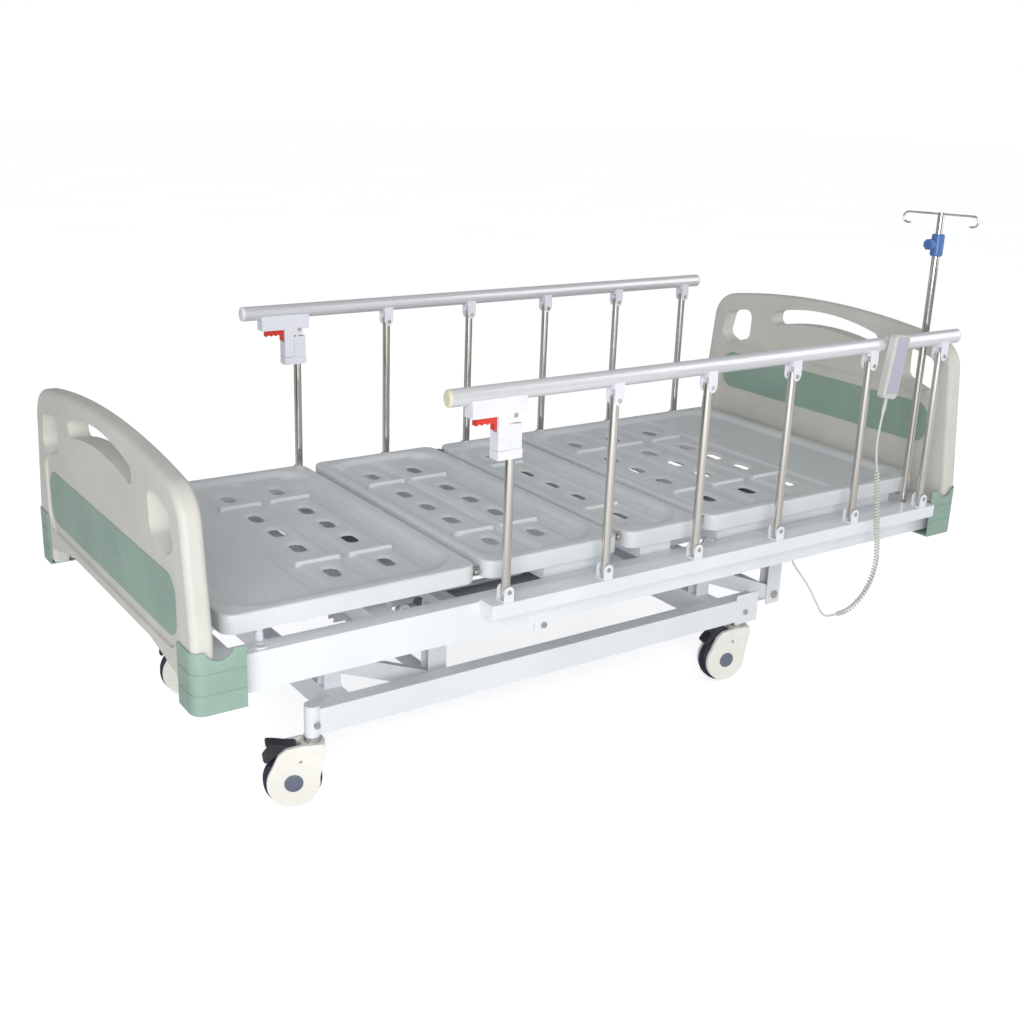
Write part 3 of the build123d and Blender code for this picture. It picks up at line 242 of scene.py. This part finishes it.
def polished_steel(name):
    """Drawn stainless tube: mirror polish with fine lines along its length."""
    shader = Shader(name, metallic=1.0)
    shader.colour((0.56, 0.53, 0.48), (0.80, 0.77, 0.72), shader.noise(60.0, 3.0, (1, 1, 0.03)))
    shader.roughness(0.06, 0.17, shader.noise(260.0, 3.0, (1, 1, 0.02)))
    shader.bump(0.05, 0.0002, shader.noise(700.0, 2.0, (1, 1, 0.02)))
    return shader.material


def zinc_plate(name):
    """Zinc-plated bolt and pin: dull, slightly mottled metal."""
    shader = Shader(name, metallic=1.0)
    shader.colour((0.42, 0.42, 0.40), (0.66, 0.65, 0.62), shader.noise(160.0))
    shader.roughness(0.28, 0.48, shader.noise(240.0))
    shader.bump(0.12, 0.0002, shader.noise(900.0))
    return shader.material


def ground_rod(name):
    """Ground steel rod with rings left by the wheel."""
    shader = Shader(name, metallic=1.0)
    shader.colour((0.55, 0.55, 0.55), (0.75, 0.75, 0.75), shader.noise(90.0, 3.0, (6, 1, 1)))
    shader.roughness(0.15, 0.28, shader.noise(400.0, 2.0, (6, 1, 1)))
    shader.bump(0.05, 0.0002, shader.noise(900.0, 2.0, (6, 1, 1)))
    return shader.material


def anodised(name):
    """Satin anodised extrusion: fine lines along X under a soft film."""
    shader = Shader(name, metallic=0.55, coat=0.15, coat_roughness=0.3)
    shader.colour((0.74, 0.74, 0.76), (0.86, 0.86, 0.88), shader.noise(40.0, 3.0, (0.04, 1, 1)))
    shader.roughness(0.26, 0.38, shader.noise(320.0, 3.0, (0.02, 1, 1)))
    shader.bump(0.06, 0.0002, shader.noise(800.0, 2.0, (0.02, 1, 1)))
    return shader.material


def moulded(name, low, high, rough, grain=0.0, coat=0.0):
    """Injection or blow-moulded plastic, with moulded grain where grain is above zero."""
    shader = Shader(name, specular=0.45, coat=coat, coat_roughness=0.15, subsurface=0.02)
    shader.surface.inputs["Subsurface Scale"].default_value = 0.003
    shader.colour(low, high, shader.noise(6.0))
    shader.roughness(rough - 0.05, rough + 0.08, shader.noise(50.0))
    shader.bump(0.05, 0.0004, shader.noise(300.0))
    if grain > 0:
        shader.bump(grain, 0.0003, shader.cells(900.0))
    return shader.material


def tread_rubber(name):
    """Dark synthetic tread: matt, with fine scuffs round it."""
    shader = Shader(name, specular=0.3)
    shader.colour((0.012, 0.014, 0.026), (0.040, 0.045, 0.070), shader.noise(45.0))
    shader.roughness(0.48, 0.72, shader.noise(80.0))
    shader.bump(0.30, 0.0004, shader.noise(500.0))
    return shader.material


def floor_material():
    """Pale matt floor that stays near white and takes a faint shadow."""
    shader = Shader("studio_floor", specular=0.0)
    shader.colour((0.90, 0.90, 0.90), (0.93, 0.93, 0.93), shader.noise(0.8))
    shader.roughness(0.85, 0.95, shader.noise(2.0))
    shader.surface.inputs["Emission Color"].default_value = (1, 1, 1, 1)
    seen = shader.tree.nodes.new("ShaderNodeLightPath").outputs["Is Camera Ray"]
    glow = shader.tree.nodes.new("ShaderNodeMath")
    glow.operation = "MULTIPLY"
    glow.inputs[1].default_value = FLOOR_GLOW
    shader.link(seen, glow.inputs[0])
    shader.link(glow.outputs["Value"], shader.surface.inputs["Emission Strength"])
    return shader.material


MATERIALS = {
    "painted_steel": powder_coat("painted_steel", (0.75, 0.78, 0.81), (0.80, 0.82, 0.85), 0.38),
    "deck_steel": powder_coat("deck_steel", (0.67, 0.70, 0.71), (0.72, 0.74, 0.75), 0.32),
    "zinc_steel": zinc_plate("zinc_steel"),
    "rod_steel": ground_rod("rod_steel"),
    "polished_steel": polished_steel("polished_steel"),
    "anodised_aluminium": anodised("anodised_aluminium"),
    "castor_shell": moulded("castor_shell", (0.78, 0.76, 0.70), (0.84, 0.82, 0.76), 0.30, coat=0.2),
    "castor_hub": moulded("castor_hub", (0.10, 0.12, 0.17), (0.15, 0.17, 0.23), 0.42, grain=0.1),
    "castor_tread": tread_rubber("castor_tread"),
    "black_plastic": moulded("black_plastic", (0.012, 0.013, 0.018), (0.030, 0.032, 0.040), 0.40, grain=0.15),
    "actuator_grey": moulded("actuator_grey", (0.16, 0.17, 0.18), (0.22, 0.23, 0.24), 0.50, grain=0.2),
    "control_box_plastic": moulded("control_box", (0.07, 0.075, 0.08), (0.11, 0.115, 0.12), 0.50, grain=0.2),
    "white_plastic": moulded("white_plastic", (0.76, 0.76, 0.84), (0.82, 0.82, 0.88), 0.30, coat=0.15),
    "cream_plastic": moulded("cream_plastic", (0.68, 0.64, 0.48), (0.76, 0.72, 0.56), 0.35, coat=0.1),
    "red_plastic": moulded("red_plastic", (0.60, 0.025, 0.018), (0.72, 0.045, 0.030), 0.28, coat=0.3),
    "board_plastic": moulded("board_plastic", (0.60, 0.59, 0.54), (0.66, 0.65, 0.60), 0.42, grain=0.10),
    "green_plastic": moulded("green_plastic", (0.26, 0.37, 0.31), (0.31, 0.43, 0.36), 0.42, grain=0.10),
    "blue_plastic": moulded("blue_plastic", (0.060, 0.150, 0.400), (0.090, 0.200, 0.490), 0.32, coat=0.2),
    "handset_plastic": moulded("handset_plastic", (0.56, 0.56, 0.53), (0.62, 0.62, 0.59), 0.42, grain=0.12),
    "membrane": moulded("membrane", (0.44, 0.44, 0.52), (0.49, 0.49, 0.57), 0.36, grain=0.05),
    "cord_jacket": moulded("cord_jacket", (0.60, 0.61, 0.56), (0.68, 0.69, 0.64), 0.40, grain=0.05),
}


def paint_nodes():
    """Every CAD node takes the material of its record slot."""
    for part in frame["record"]["subparts"]:
        mesh = nodes[part["node"]].data
        mesh.materials.clear()
        mesh.materials.append(MATERIALS[part["material_slot"]])


def paint_where(node, material, wanted):
    """A second material on those faces of a CAD node whose centre passes a test."""
    mesh = nodes[node].data
    mesh.materials.append(MATERIALS[material])
    for face in mesh.polygons:
        if wanted(face.center):
            face.material_index = 1


def on_latch_sleeve(place, side):
    """Whether a point of a first rail post is on the plastic sleeve round it."""
    away = math.hypot(place.x - POST_1[0], place.y - side * POST_1[1])
    return away > POST_RADIUS and LATCH_SLEEVE_Z[0] < place.z < LATCH_SLEEVE_Z[1]


def on_membrane(place):
    """Whether a point of the handset is on the membrane sunk in its face."""
    back = Matrix.Rotation(math.radians(-HANDSET_LEAN), 3, "Y")
    at = back @ (place - Vector(HANDSET_CENTRE))
    inside = abs(at.x) < MEMBRANE_HALF[0] and abs(at.z - MEMBRANE_RISE) < MEMBRANE_HALF[1]
    return at.y < MEMBRANE_DEPTH and inside


def paint_details():
    """Second colours: the near handrail's cap, the latch sleeves and the handset's membrane."""
    paint_where("left_rail_fittings", "cream_plastic", lambda place: place.x < HANDRAIL_CAP_X)
    for side_name, side in RAIL_SIDES.items():
        paint_where(side_name + "_rail_post_1", "white_plastic", lambda place: on_latch_sleeve(place, side))
    paint_where("handset", "membrane", on_membrane)


# =============================== mesh helpers ===============================

def shade(mesh, angle=35):
    """Smooth shading that stays crisp where faces turn by more than the angle."""
    work = bmesh.new()
    work.from_mesh(mesh)
    for face in work.faces:
        face.smooth = True
    for edge in work.edges:
        if len(edge.link_faces) == 2 and edge.calc_face_angle(0) > math.radians(angle):
            edge.smooth = False
    work.to_mesh(mesh)
    work.free()


def add_piece(name, mesh, body, material):
    """Links a mesh as a piece that rides on a body."""
    mesh.materials.append(MATERIALS[material])
    piece = bpy.data.objects.new(name, mesh)
    bpy.context.scene.collection.objects.link(piece)
    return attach(piece, body)


def turned(name, profile, steps=32):
    """A mesh turned round Z from (radius, height) points; a zero radius closes an end."""
    work = bmesh.new()
    rings = []
    for radius, height in profile:
        if radius == 0:
            rings.append([work.verts.new((0, 0, height))])
            continue
        turns = [2 * math.pi * step / steps for step in range(steps)]
        rings.append([work.verts.new((radius * math.cos(a), radius * math.sin(a), height)) for a in turns])
    for low, high in zip(rings, rings[1:]):
        for step in range(steps):
            corners = [low[step % len(low)], low[(step + 1) % len(low)],
                       high[(step + 1) % len(high)], high[step % len(high)]]
            unique = list(dict.fromkeys(corners))
            if len(unique) > 2:
                work.faces.new(unique)
    bmesh.ops.recalc_face_normals(work, faces=work.faces)
    mesh = bpy.data.meshes.new(name)
    work.to_mesh(mesh)
    work.free()
    shade(mesh)
    return mesh


def slab_mesh(name, outline, thickness, rounding=0.0004):
    """A plate on the XZ plane with softened edges, from y = 0 to y = thickness."""
    work = bmesh.new()
    face = work.faces.new([work.verts.new((x, 0, z)) for x, z in outline])
    grown = bmesh.ops.extrude_face_region(work, geom=[face])["geom"]
    moved = [item for item in grown if isinstance(item, bmesh.types.BMVert)]
    bmesh.ops.translate(work, verts=moved, vec=(0, thickness, 0))
    bmesh.ops.recalc_face_normals(work, faces=work.faces)
    sharp = [edge for edge in work.edges if edge.calc_face_angle(0) > math.radians(60)]
    bmesh.ops.bevel(work, geom=sharp, offset=rounding, segments=2, affect="EDGES")
    mesh = bpy.data.meshes.new(name)
    work.to_mesh(mesh)
    work.free()
    shade(mesh)
    return mesh


# =============================== deck pans ===============================

def ease(value):
    """0 to 1 with a soft start and end."""
    value = min(max(value, 0.0), 1.0)
    return value * value * (3 - 2 * value)


def to_rounded_box(x, y, half_x, half_y, corner):
    """Distance to a rounded rectangle round the origin, negative inside."""
    across = abs(x) - half_x + corner
    along = abs(y) - half_y + corner
    outside = math.hypot(max(across, 0.0), max(along, 0.0))
    return min(max(across, along), 0.0) + outside - corner


def to_hole(x, y):
    """Distance to the outline of an obround hole centred on the origin and long in Y."""
    return math.hypot(x, max(abs(y) - HOLE_HALF_STRAIGHT, 0.0)) - HOLE_RADIUS


def pan_relief(x, y, half_length, columns, channels):
    """Height of the pressed surface at a point, counted from the rim's top."""
    inset = RIM_WIDTH
    field = to_rounded_box(x, y, half_length - inset, DECK_HALF_WIDTH - inset, FIELD_CORNER)
    height = -FIELD_DEPTH * ease(-field / RIM_SLOPE)
    for place in channels:
        reach = DECK_HALF_WIDTH - CHANNEL_END_GAP
        away = to_rounded_box(x - place, y, CHANNEL_HALF_WIDTH, reach, CHANNEL_HALF_WIDTH)
        height -= CHANNEL_DEPTH * ease(1 - away / CHANNEL_SIDE)
    for place in columns:
        for row in BAR_ROWS:
            away = to_rounded_box(x - place, y - row, *BAR_HALF, 0.0005)
            share = min(max(1 - away / BAR_SIDE, 0.0), 1.0)
            height += (BAR_HEIGHT - FIELD_DEPTH - height) * share
        for row in HOLE_ROWS:
            away = max(to_hole(x - place, y - row), 0.0)
            height -= HOLE_DISH * math.exp(-(away / HOLE_DISH_REACH) ** 2)
    return height


def ticks(stops):
    """Grid lines that pass through every stop, about one cell apart."""
    stops = [stop for stop, after in zip(stops, stops[1:] + [math.inf]) if after - stop > 1e-5]
    lines = [stops[0]]
    for start, end in zip(stops, stops[1:]):
        count = max(1, round((end - start) / CELL))
        lines += [start + (end - start) * step / count for step in range(1, count + 1)]
    return lines


def round_corner(x, y, half_x, half_y, corner):
    """Moves a grid point of a square corner onto a round one."""
    u = (abs(x) - half_x + corner) / corner
    v = (abs(y) - half_y + corner) / corner
    if u <= 0 or v <= 0:
        return x, y
    new_u = u * math.sqrt(1 - v * v / 2)
    new_v = v * math.sqrt(1 - u * u / 2)
    return (math.copysign(half_x - corner + new_u * corner, x),
            math.copysign(half_y - corner + new_v * corner, y))


def hole_edge_point(x, y):
    """Where the line from the centre of a hole through a point meets the hole's outline."""
    low, high = 0.0, 1.0
    for _ in range(24):
        middle = (low + high) / 2
        if to_hole(x * middle, y * middle) < 0:
            low = middle
        else:
            high = middle
    return x * high, y * high


def pressed_pan(node, body, columns, channels):
    """Sheet pan with a rolled rim, sloping sides, channels, bars and dished holes."""
    low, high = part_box(node)
    x0 = low.x + (0 if node == "calf_deck" else LUG_REACH)
    x1 = high.x - (0 if node == "back_deck" else LUG_REACH)
    middle, half_length = (x0 + x1) / 2, (x1 - x0) / 2
    columns = [place - middle for place in columns]
    channels = [place - middle for place in channels]
    inner_x, inner_y = half_length - EDGE_ROUNDING, DECK_HALF_WIDTH - EDGE_ROUNDING
    corner = PAN_CORNER - EDGE_ROUNDING
    x_stops = [-inner_x, -inner_x + corner, inner_x - corner, inner_x]
    x_reaches = (WINDOW[0], BAR_HALF[0], BAR_HALF[0] + BAR_SIDE)
    y_reaches = (BAR_HALF[1], BAR_HALF[1] + BAR_SIDE)
    x_stops += [place + side * reach for place in columns for side in (-1, 1) for reach in x_reaches]
    y_stops = [-inner_y, -inner_y + corner, inner_y - corner, inner_y]
    y_stops += [row + side * WINDOW[1] for row in HOLE_ROWS for side in (-1, 1)]
    y_stops += [row + side * reach for row in BAR_ROWS for side in (-1, 1) for reach in y_reaches]
    xs, ys = ticks(sorted(x_stops)), ticks(sorted(y_stops))

    def surface(x, y):
        return pan_relief(x, y, half_length, columns, channels)

    work = bmesh.new()
    grid = []
    for x in xs:
        line = []
        for y in ys:
            px, py = round_corner(x, y, inner_x, inner_y, corner)
            line.append(work.verts.new((px, py, surface(px, py))))
        grid.append(line)
    centres = [(place, row) for place in columns for row in HOLE_ROWS]
    windows = {centre: [] for centre in centres}
    for i, x in enumerate(xs[:-1]):
        for j, y in enumerate(ys[:-1]):
            mid_x, mid_y = (x + xs[i + 1]) / 2, (y + ys[j + 1]) / 2
            inside = [c for c in centres
                      if abs(mid_x - c[0]) < WINDOW[0] and abs(mid_y - c[1]) < WINDOW[1]]
            corners = (grid[i][j], grid[i + 1][j], grid[i + 1][j + 1], grid[i][j + 1])
            if inside:
                windows[inside[0]] += [corners]
            else:
                work.faces.new(corners)
    for centre, cells in windows.items():
        fill_round_hole(work, centre, cells, surface)
    bmesh.ops.delete(work, geom=[v for v in work.verts if not v.link_faces], context="VERTS")
    roll_rim(work, grid)
    bmesh.ops.recalc_face_normals(work, faces=work.faces)
    mesh = bpy.data.meshes.new(node + "_pressed")
    work.to_mesh(mesh)
    work.free()
    mesh.transform(Matrix.Translation((middle, 0, DECK_TOP_Z)))
    pan = add_piece(node + "_pressed", thicken(mesh), body, "deck_steel")
    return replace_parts(pan, node)


def fill_round_hole(work, centre, cells, surface):
    """Rings of faces from the edge of a window in the grid to the hole's outline."""
    cx, cy = centre
    border = {v for cell in cells for v in cell
              if max(abs(v.co.x - cx) / WINDOW[0], abs(v.co.y - cy) / WINDOW[1]) > 0.999}
    rim = sorted(border, key=lambda v: math.atan2(v.co.y - cy, v.co.x - cx))
    loop = rim
    for ring in range(1, HOLE_RINGS + 1):
        share = ring / HOLE_RINGS
        inner = []
        for vert in rim:
            dx, dy = vert.co.x - cx, vert.co.y - cy
            edge_x, edge_y = hole_edge_point(dx, dy)
            x = cx + dx + (edge_x - dx) * share
            y = cy + dy + (edge_y - dy) * share
            inner.append(work.verts.new((x, y, surface(x, y))))
        for step, vert in enumerate(loop):
            after = (step + 1) % len(loop)
            work.faces.new((vert, loop[after], inner[after], inner[step]))
        loop = inner


def roll_rim(work, grid):
    """Rounds the pan's edge over and draws the skirt down from it."""
    loop = [line[0] for line in grid] + grid[-1][1:]
    loop += [line[-1] for line in reversed(grid[:-1])] + list(reversed(grid[0][1:-1]))
    count = len(loop)
    outward = []
    for step in range(count):
        along = loop[(step + 1) % count].co - loop[step - 1].co
        outward.append(Vector((along.y, -along.x, 0)).normalized())
    start = [vert.co.copy() for vert in loop]
    turns = [math.radians(angle) for angle in (22.5, 45, 67.5, 90)]
    profile = [(EDGE_ROUNDING * math.sin(a), -EDGE_ROUNDING * (1 - math.cos(a))) for a in turns]
    profile += [(EDGE_ROUNDING, -SKIRT_DEPTH * share) for share in (0.4, 0.7, 0.97, 1.0)]
    for out, down in profile:
        ring = [work.verts.new(start[k] + outward[k] * out + Vector((0, 0, down))) for k in range(count)]
        for step in range(count):
            after = (step + 1) % count
            work.faces.new((loop[step], loop[after], ring[after], ring[step]))
        loop = ring


def thicken(mesh):
    """Gives a single-walled pan the thickness of its sheet, on the inside."""
    holder = bpy.data.objects.new("sheet_holder", mesh)
    bpy.context.scene.collection.objects.link(holder)
    solid = holder.modifiers.new("sheet", "SOLIDIFY")
    solid.thickness = SHEET
    solid.offset = -1
    shown = holder.evaluated_get(bpy.context.evaluated_depsgraph_get())
    thick = bpy.data.meshes.new_from_object(shown)
    bpy.data.objects.remove(holder)
    shade(thick)
    return thick


def hinge_ear(name, body, hinge_x, hinge_z, deck_x, y):
    """Zinc ear from a deck skirt to its hinge pin."""
    away = math.copysign(1, deck_x - hinge_x)
    radius, end_x = EAR_RADIUS, deck_x + away * EAR_OVERLAP
    turns = [math.radians(90 + 15 * step) for step in range(13)]
    outline = [(hinge_x + away * radius * math.cos(a), hinge_z + radius * math.sin(a)) for a in turns]
    outline += [(end_x, hinge_z - radius), (end_x, hinge_z + radius)]
    mesh = slab_mesh(name, outline, EAR_THICKNESS)
    mesh.transform(Matrix.Translation((0, y - EAR_THICKNESS / 2, 0)))
    return add_piece(name, mesh, body, "zinc_steel")


def hinge_pin(name, body, x, y, z):
    """Domed pin head and shank across a pair of hinge ears."""
    profile = [(0, -0.008), (0.0038, -0.008), (0.0038, 0.0042), (0.0068, 0.0044), (0.0070, 0.0062),
               (0.0058, 0.0076), (0, 0.0082)]
    mesh = turned(name, profile, 24)
    turn = Matrix.Rotation(math.radians(-90 if y > 0 else 90), 4, "X")
    mesh.transform(Matrix.Translation((x, y, z)) @ turn)
    return add_piece(name, mesh, body, "zinc_steel")


def deck_hardware():
    """Hinge ears and pins at the three deck gaps and the calf section's two nylon feet."""
    for label, x, z, fixed, moving, fixed_side in HINGES:
        reach = fixed_side * EAR_REACH
        for side_name, side in RAIL_SIDES.items():
            hinge_ear(f"{label}_ear_fixed_{side_name}", fixed, x, z, x + reach, side * FIXED_EAR_Y)
            hinge_ear(f"{label}_ear_moving_{side_name}", moving, x, z, x - reach, side * MOVING_EAR_Y)
            hinge_pin(f"{label}_pin_{side_name}", fixed, x, side * MOVING_EAR_Y, z)
    foot_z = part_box("calf_deck")[0].z
    for side_name, side in RAIL_SIDES.items():
        profile = [(0, 0), (0.0070, 0), (0.0085, 0.0015), (0.0085, 0.016), (0.0072, 0.0175), (0.0072, 0.020),
                   (0.0085, 0.0215), (0.0085, 0.054), (0, 0.054)]
        mesh = turned("calf_foot_" + side_name, profile, 28)
        mesh.transform(Matrix.Translation((CALF_FOOT[0], side * CALF_FOOT[1], foot_z)))
        add_piece("calf_foot_" + side_name, mesh, "calf_section", "white_plastic")


def make_deck():
    """The four pressed pans and their hardware."""
    for node, body, columns, channels in PANS:
        pressed_pan(node, body, columns, channels)
    deck_hardware()


# =============================== castors ===============================

def castor_details():
    """Domed hub cap and rivet on both cheeks of each castor."""
    for name in CASTORS:
        swivel = next(j for j in frame["joints"] if j["name"] == "swivel_" + name)
        spin = next(j for j in frame["joints"] if j["name"] == "wheel_spin_" + name)
        axle, centre = Vector(spin["axis"]), Vector(spin["pos_m"])
        stem = Vector(swivel["pos_m"])
        ahead = Vector((stem.x - centre.x, stem.y - centre.y, 0)).normalized()
        for label, side in (("a", -1), ("b", 1)):
            turn = Vector((0, 0, 1)).rotation_difference(axle * side).to_matrix().to_4x4()
            cap = turned("castor_cap", [(0.0200, 0.0), (0.0200, 0.0006), (0.0188, 0.0014), (0.010, 0.0019),
                                        (0, 0.0021)], 48)
            cap.transform(Matrix.Translation(centre + axle * side * HUB_CAP_OFFSET) @ turn)
            add_piece(f"hub_cap_{name}_{label}", cap, "castor_" + name, "castor_hub")
            profile = [(0.0036, 0.0), (0.0034, 0.0008), (0.0020, 0.0014), (0, 0.0016)]
            rivet = turned("castor_rivet", profile, 24)
            along, rise, out = RIVET_OFFSET
            spot = centre + ahead * along + Vector((0, 0, rise)) + axle * side * out
            rivet.transform(Matrix.Translation(spot) @ turn)
            add_piece(f"castor_rivet_{name}_{label}", rivet, "castor_" + name, "zinc_steel")


# =============================== handset and cord ===============================

def nurbs(name, points, diameter=0.0, steps=6):
    """A smooth open curve steered by its points, with a round section if a diameter is given."""
    curve = bpy.data.curves.new(name, "CURVE")
    curve.dimensions = "3D"
    curve.resolution_u = steps
    curve.bevel_depth = diameter / 2
    curve.bevel_resolution = 3
    curve.use_fill_caps = True
    spline = curve.splines.new("NURBS")
    spline.points.add(len(points) - 1)
    for target, point in zip(spline.points, points):
        target.co = (*point, 1)
    spline.order_u = 3
    spline.use_endpoint_u = True
    holder = bpy.data.objects.new(name, curve)
    bpy.context.scene.collection.objects.link(holder)
    return holder


def as_mesh(holder):
    """The mesh that a curve makes; the curve is removed."""
    shown = holder.evaluated_get(bpy.context.evaluated_depsgraph_get())
    mesh = bpy.data.meshes.new_from_object(shown)
    bpy.data.objects.remove(holder)
    return mesh


def line_of(points, steps=6):
    """Points along the smooth line that a route steers."""
    return [vert.co.copy() for vert in as_mesh(nurbs("route", points, 0.0, steps)).vertices]


def helix_round(route):
    """The turns of a curly cord round a smooth route, opening from it and closing onto it."""
    line = line_of(route, 24)
    reach = [0.0]
    for before, after in zip(line, line[1:]):
        reach.append(reach[-1] + (after - before).length)
    total = reach[-1]
    turns = total / COIL_PITCH
    count = round(turns * COIL_POINTS_PER_TURN)
    side = (line[1] - line[0]).orthogonal().normalized()
    radius = (COIL_DIAMETER - CORD_DIAMETER) / 2
    points, span = [], 0
    for step in range(count + 1):
        at = total * step / count
        while span < len(line) - 2 and reach[span + 1] < at:
            span += 1
        share = (at - reach[span]) / (reach[span + 1] - reach[span])
        forward = (line[span + 1] - line[span]).normalized()
        side = (side - forward * side.dot(forward)).normalized()
        up = forward.cross(side)
        angle = 2 * math.pi * turns * step / count
        open_share = min(1.0, at / COIL_LEAD_IN, (total - at) / COIL_LEAD_IN)
        around = (side * math.cos(angle) + up * math.sin(angle)) * radius * ease(open_share)
        points.append(line[span].lerp(line[span + 1], share) + around)
    return points


def make_cord():
    """One cord: a straight lead, the curly stretch and the lead into the control box."""
    route = [Vector(p) for p in UPPER_LEAD[:-1]] + helix_round(COIL) + [Vector(p) for p in LOWER_LEAD[1:]]
    path = line_of(route, 3)
    length = sum((b - a).length for a, b in zip(path, path[1:]))
    mesh = as_mesh(nurbs("handset_cord", route, CORD_DIAMETER, 3))
    mesh.materials.clear()
    shade(mesh, 60)
    cord = add_piece("handset_cord", mesh, "left_handrail", "cord_jacket")
    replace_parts(cord, "handset_cord_leads", "handset_cord_coil")
    [tuple(p) for p in path]
    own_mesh(cord)
    for label, point, toward, body in (("handset", UPPER_LEAD[0], UPPER_LEAD[1], "left_handrail"),
                                       ("box", CORD_EXIT, LOWER_LEAD[-2], "bed_frame")):
        sleeve = turned("sleeve", sleeve_profile(), 24)
        turn = Vector((0, 0, 1)).rotation_difference(Vector(toward) - Vector(point)).to_matrix().to_4x4()
        sleeve.transform(Matrix.Translation(point) @ turn)
        add_piece("cord_sleeve_" + label, sleeve, body, "cord_jacket")


def sleeve_profile():
    """Tapered strain relief with a ring pressed into it every few millimetres."""
    length, rings = CORD_SLEEVE_LENGTH, CORD_SLEEVE_RINGS
    profile = [(0.0030, 0.0)]
    for ring in range(rings):
        start = length * ring / rings
        radius = 0.0052 - 0.0018 * ring / rings
        profile += [(radius, start), (radius, start + 0.0026), (radius - 0.0007, start + 0.0028)]
        profile += [(radius - 0.0007, start + 0.0038)]
    return profile + [(0.0030, length)]


def handset_keys():
    """Soft domes of the membrane keys, four rows of two."""
    place = Matrix.Translation(HANDSET_CENTRE) @ Matrix.Rotation(math.radians(HANDSET_LEAN), 4, "Y")
    depth, first_row = FIRST_KEY
    turn = Matrix.Rotation(math.radians(90), 4, "X")
    for row in range(4):
        for column, side in (("a", -1), ("b", 1)):
            dome = turned("key", [(0.0066, 0.0), (0.0064, 0.0004), (0.0052, 0.0007), (0, 0.0009)], 28)
            spot = Matrix.Translation((side * KEY_SPACING[0] / 2, depth, first_row - KEY_SPACING[1] * row))
            dome.transform(place @ spot @ turn)
            name = f"handset_key_{row + 1}{column}"
            add_piece(name, dome, "left_handrail", "membrane")


# =============================== studio ===============================

def area_light(name, place, size, power):
    """A soft square light aimed at the middle of the bed."""
    lamp = bpy.data.lights.new(name, "AREA")
    lamp.shape = "SQUARE"
    lamp.size = size
    lamp.energy = power
    holder = bpy.data.objects.new(name, lamp)
    bpy.context.scene.collection.objects.link(holder)
    holder.location = place
    holder.rotation_euler = (Vector(LIGHT_TARGET) - Vector(place)).to_track_quat("-Z", "Y").to_euler()


def make_world():
    """White surroundings for the camera and a softer sky for the object."""
    world = bpy.data.worlds.new("studio")
    bpy.context.scene.world = world
    world.use_nodes = True
    tree = world.node_tree
    sky = tree.nodes["Background"]
    sky.inputs["Color"].default_value = (0.95, 0.97, 1.0, 1)
    sky.inputs["Strength"].default_value = SKY_STRENGTH
    backdrop = tree.nodes.new("ShaderNodeBackground")
    backdrop.inputs["Color"].default_value = (1, 1, 1, 1)
    path = tree.nodes.new("ShaderNodeLightPath")
    mix = tree.nodes.new("ShaderNodeMixShader")
    tree.links.new(path.outputs["Is Camera Ray"], mix.inputs["Fac"])
    tree.links.new(sky.outputs["Background"], mix.inputs[1])
    tree.links.new(backdrop.outputs["Background"], mix.inputs[2])
    tree.links.new(mix.outputs["Shader"], tree.nodes["World Output"].inputs["Surface"])


def make_floor():
    """A wide plain floor."""
    bpy.ops.mesh.primitive_plane_add(size=60, location=(0, 0, 0))
    floor = bpy.context.object
    floor.name = "studio_floor"
    floor.data.materials.append(floor_material())


def make_camera():
    """The camera, standing off the foot end on the -Y side and looking slightly down."""
    lens = bpy.data.cameras.new("camera")
    lens.sensor_width = 36.0
    lens.lens = CAMERA_LENS
    lens.clip_end = 100
    camera = bpy.data.objects.new("camera", lens)
    bpy.context.scene.collection.objects.link(camera)
    turn = Matrix.Rotation(math.radians(-CAMERA_YAW), 4, "Z")
    turn = turn @ Matrix.Rotation(math.radians(90 - CAMERA_PITCH), 4, "X")
    turn = turn @ Matrix.Rotation(math.radians(CAMERA_ROLL), 4, "Z")
    camera.matrix_world = Matrix.Translation(CAMERA_PLACE) @ turn
    bpy.context.scene.camera = camera


paint_nodes()
paint_details()
make_deck()
castor_details()
make_cord()
handset_keys()
make_world()
make_floor()
make_camera()
for light_name, light_place, light_size, light_power in LIGHTS:
    area_light(light_name, light_place, light_size, light_power)
bpy.context.scene.view_settings.view_transform = "Standard"

bpy.context.view_layer.update()
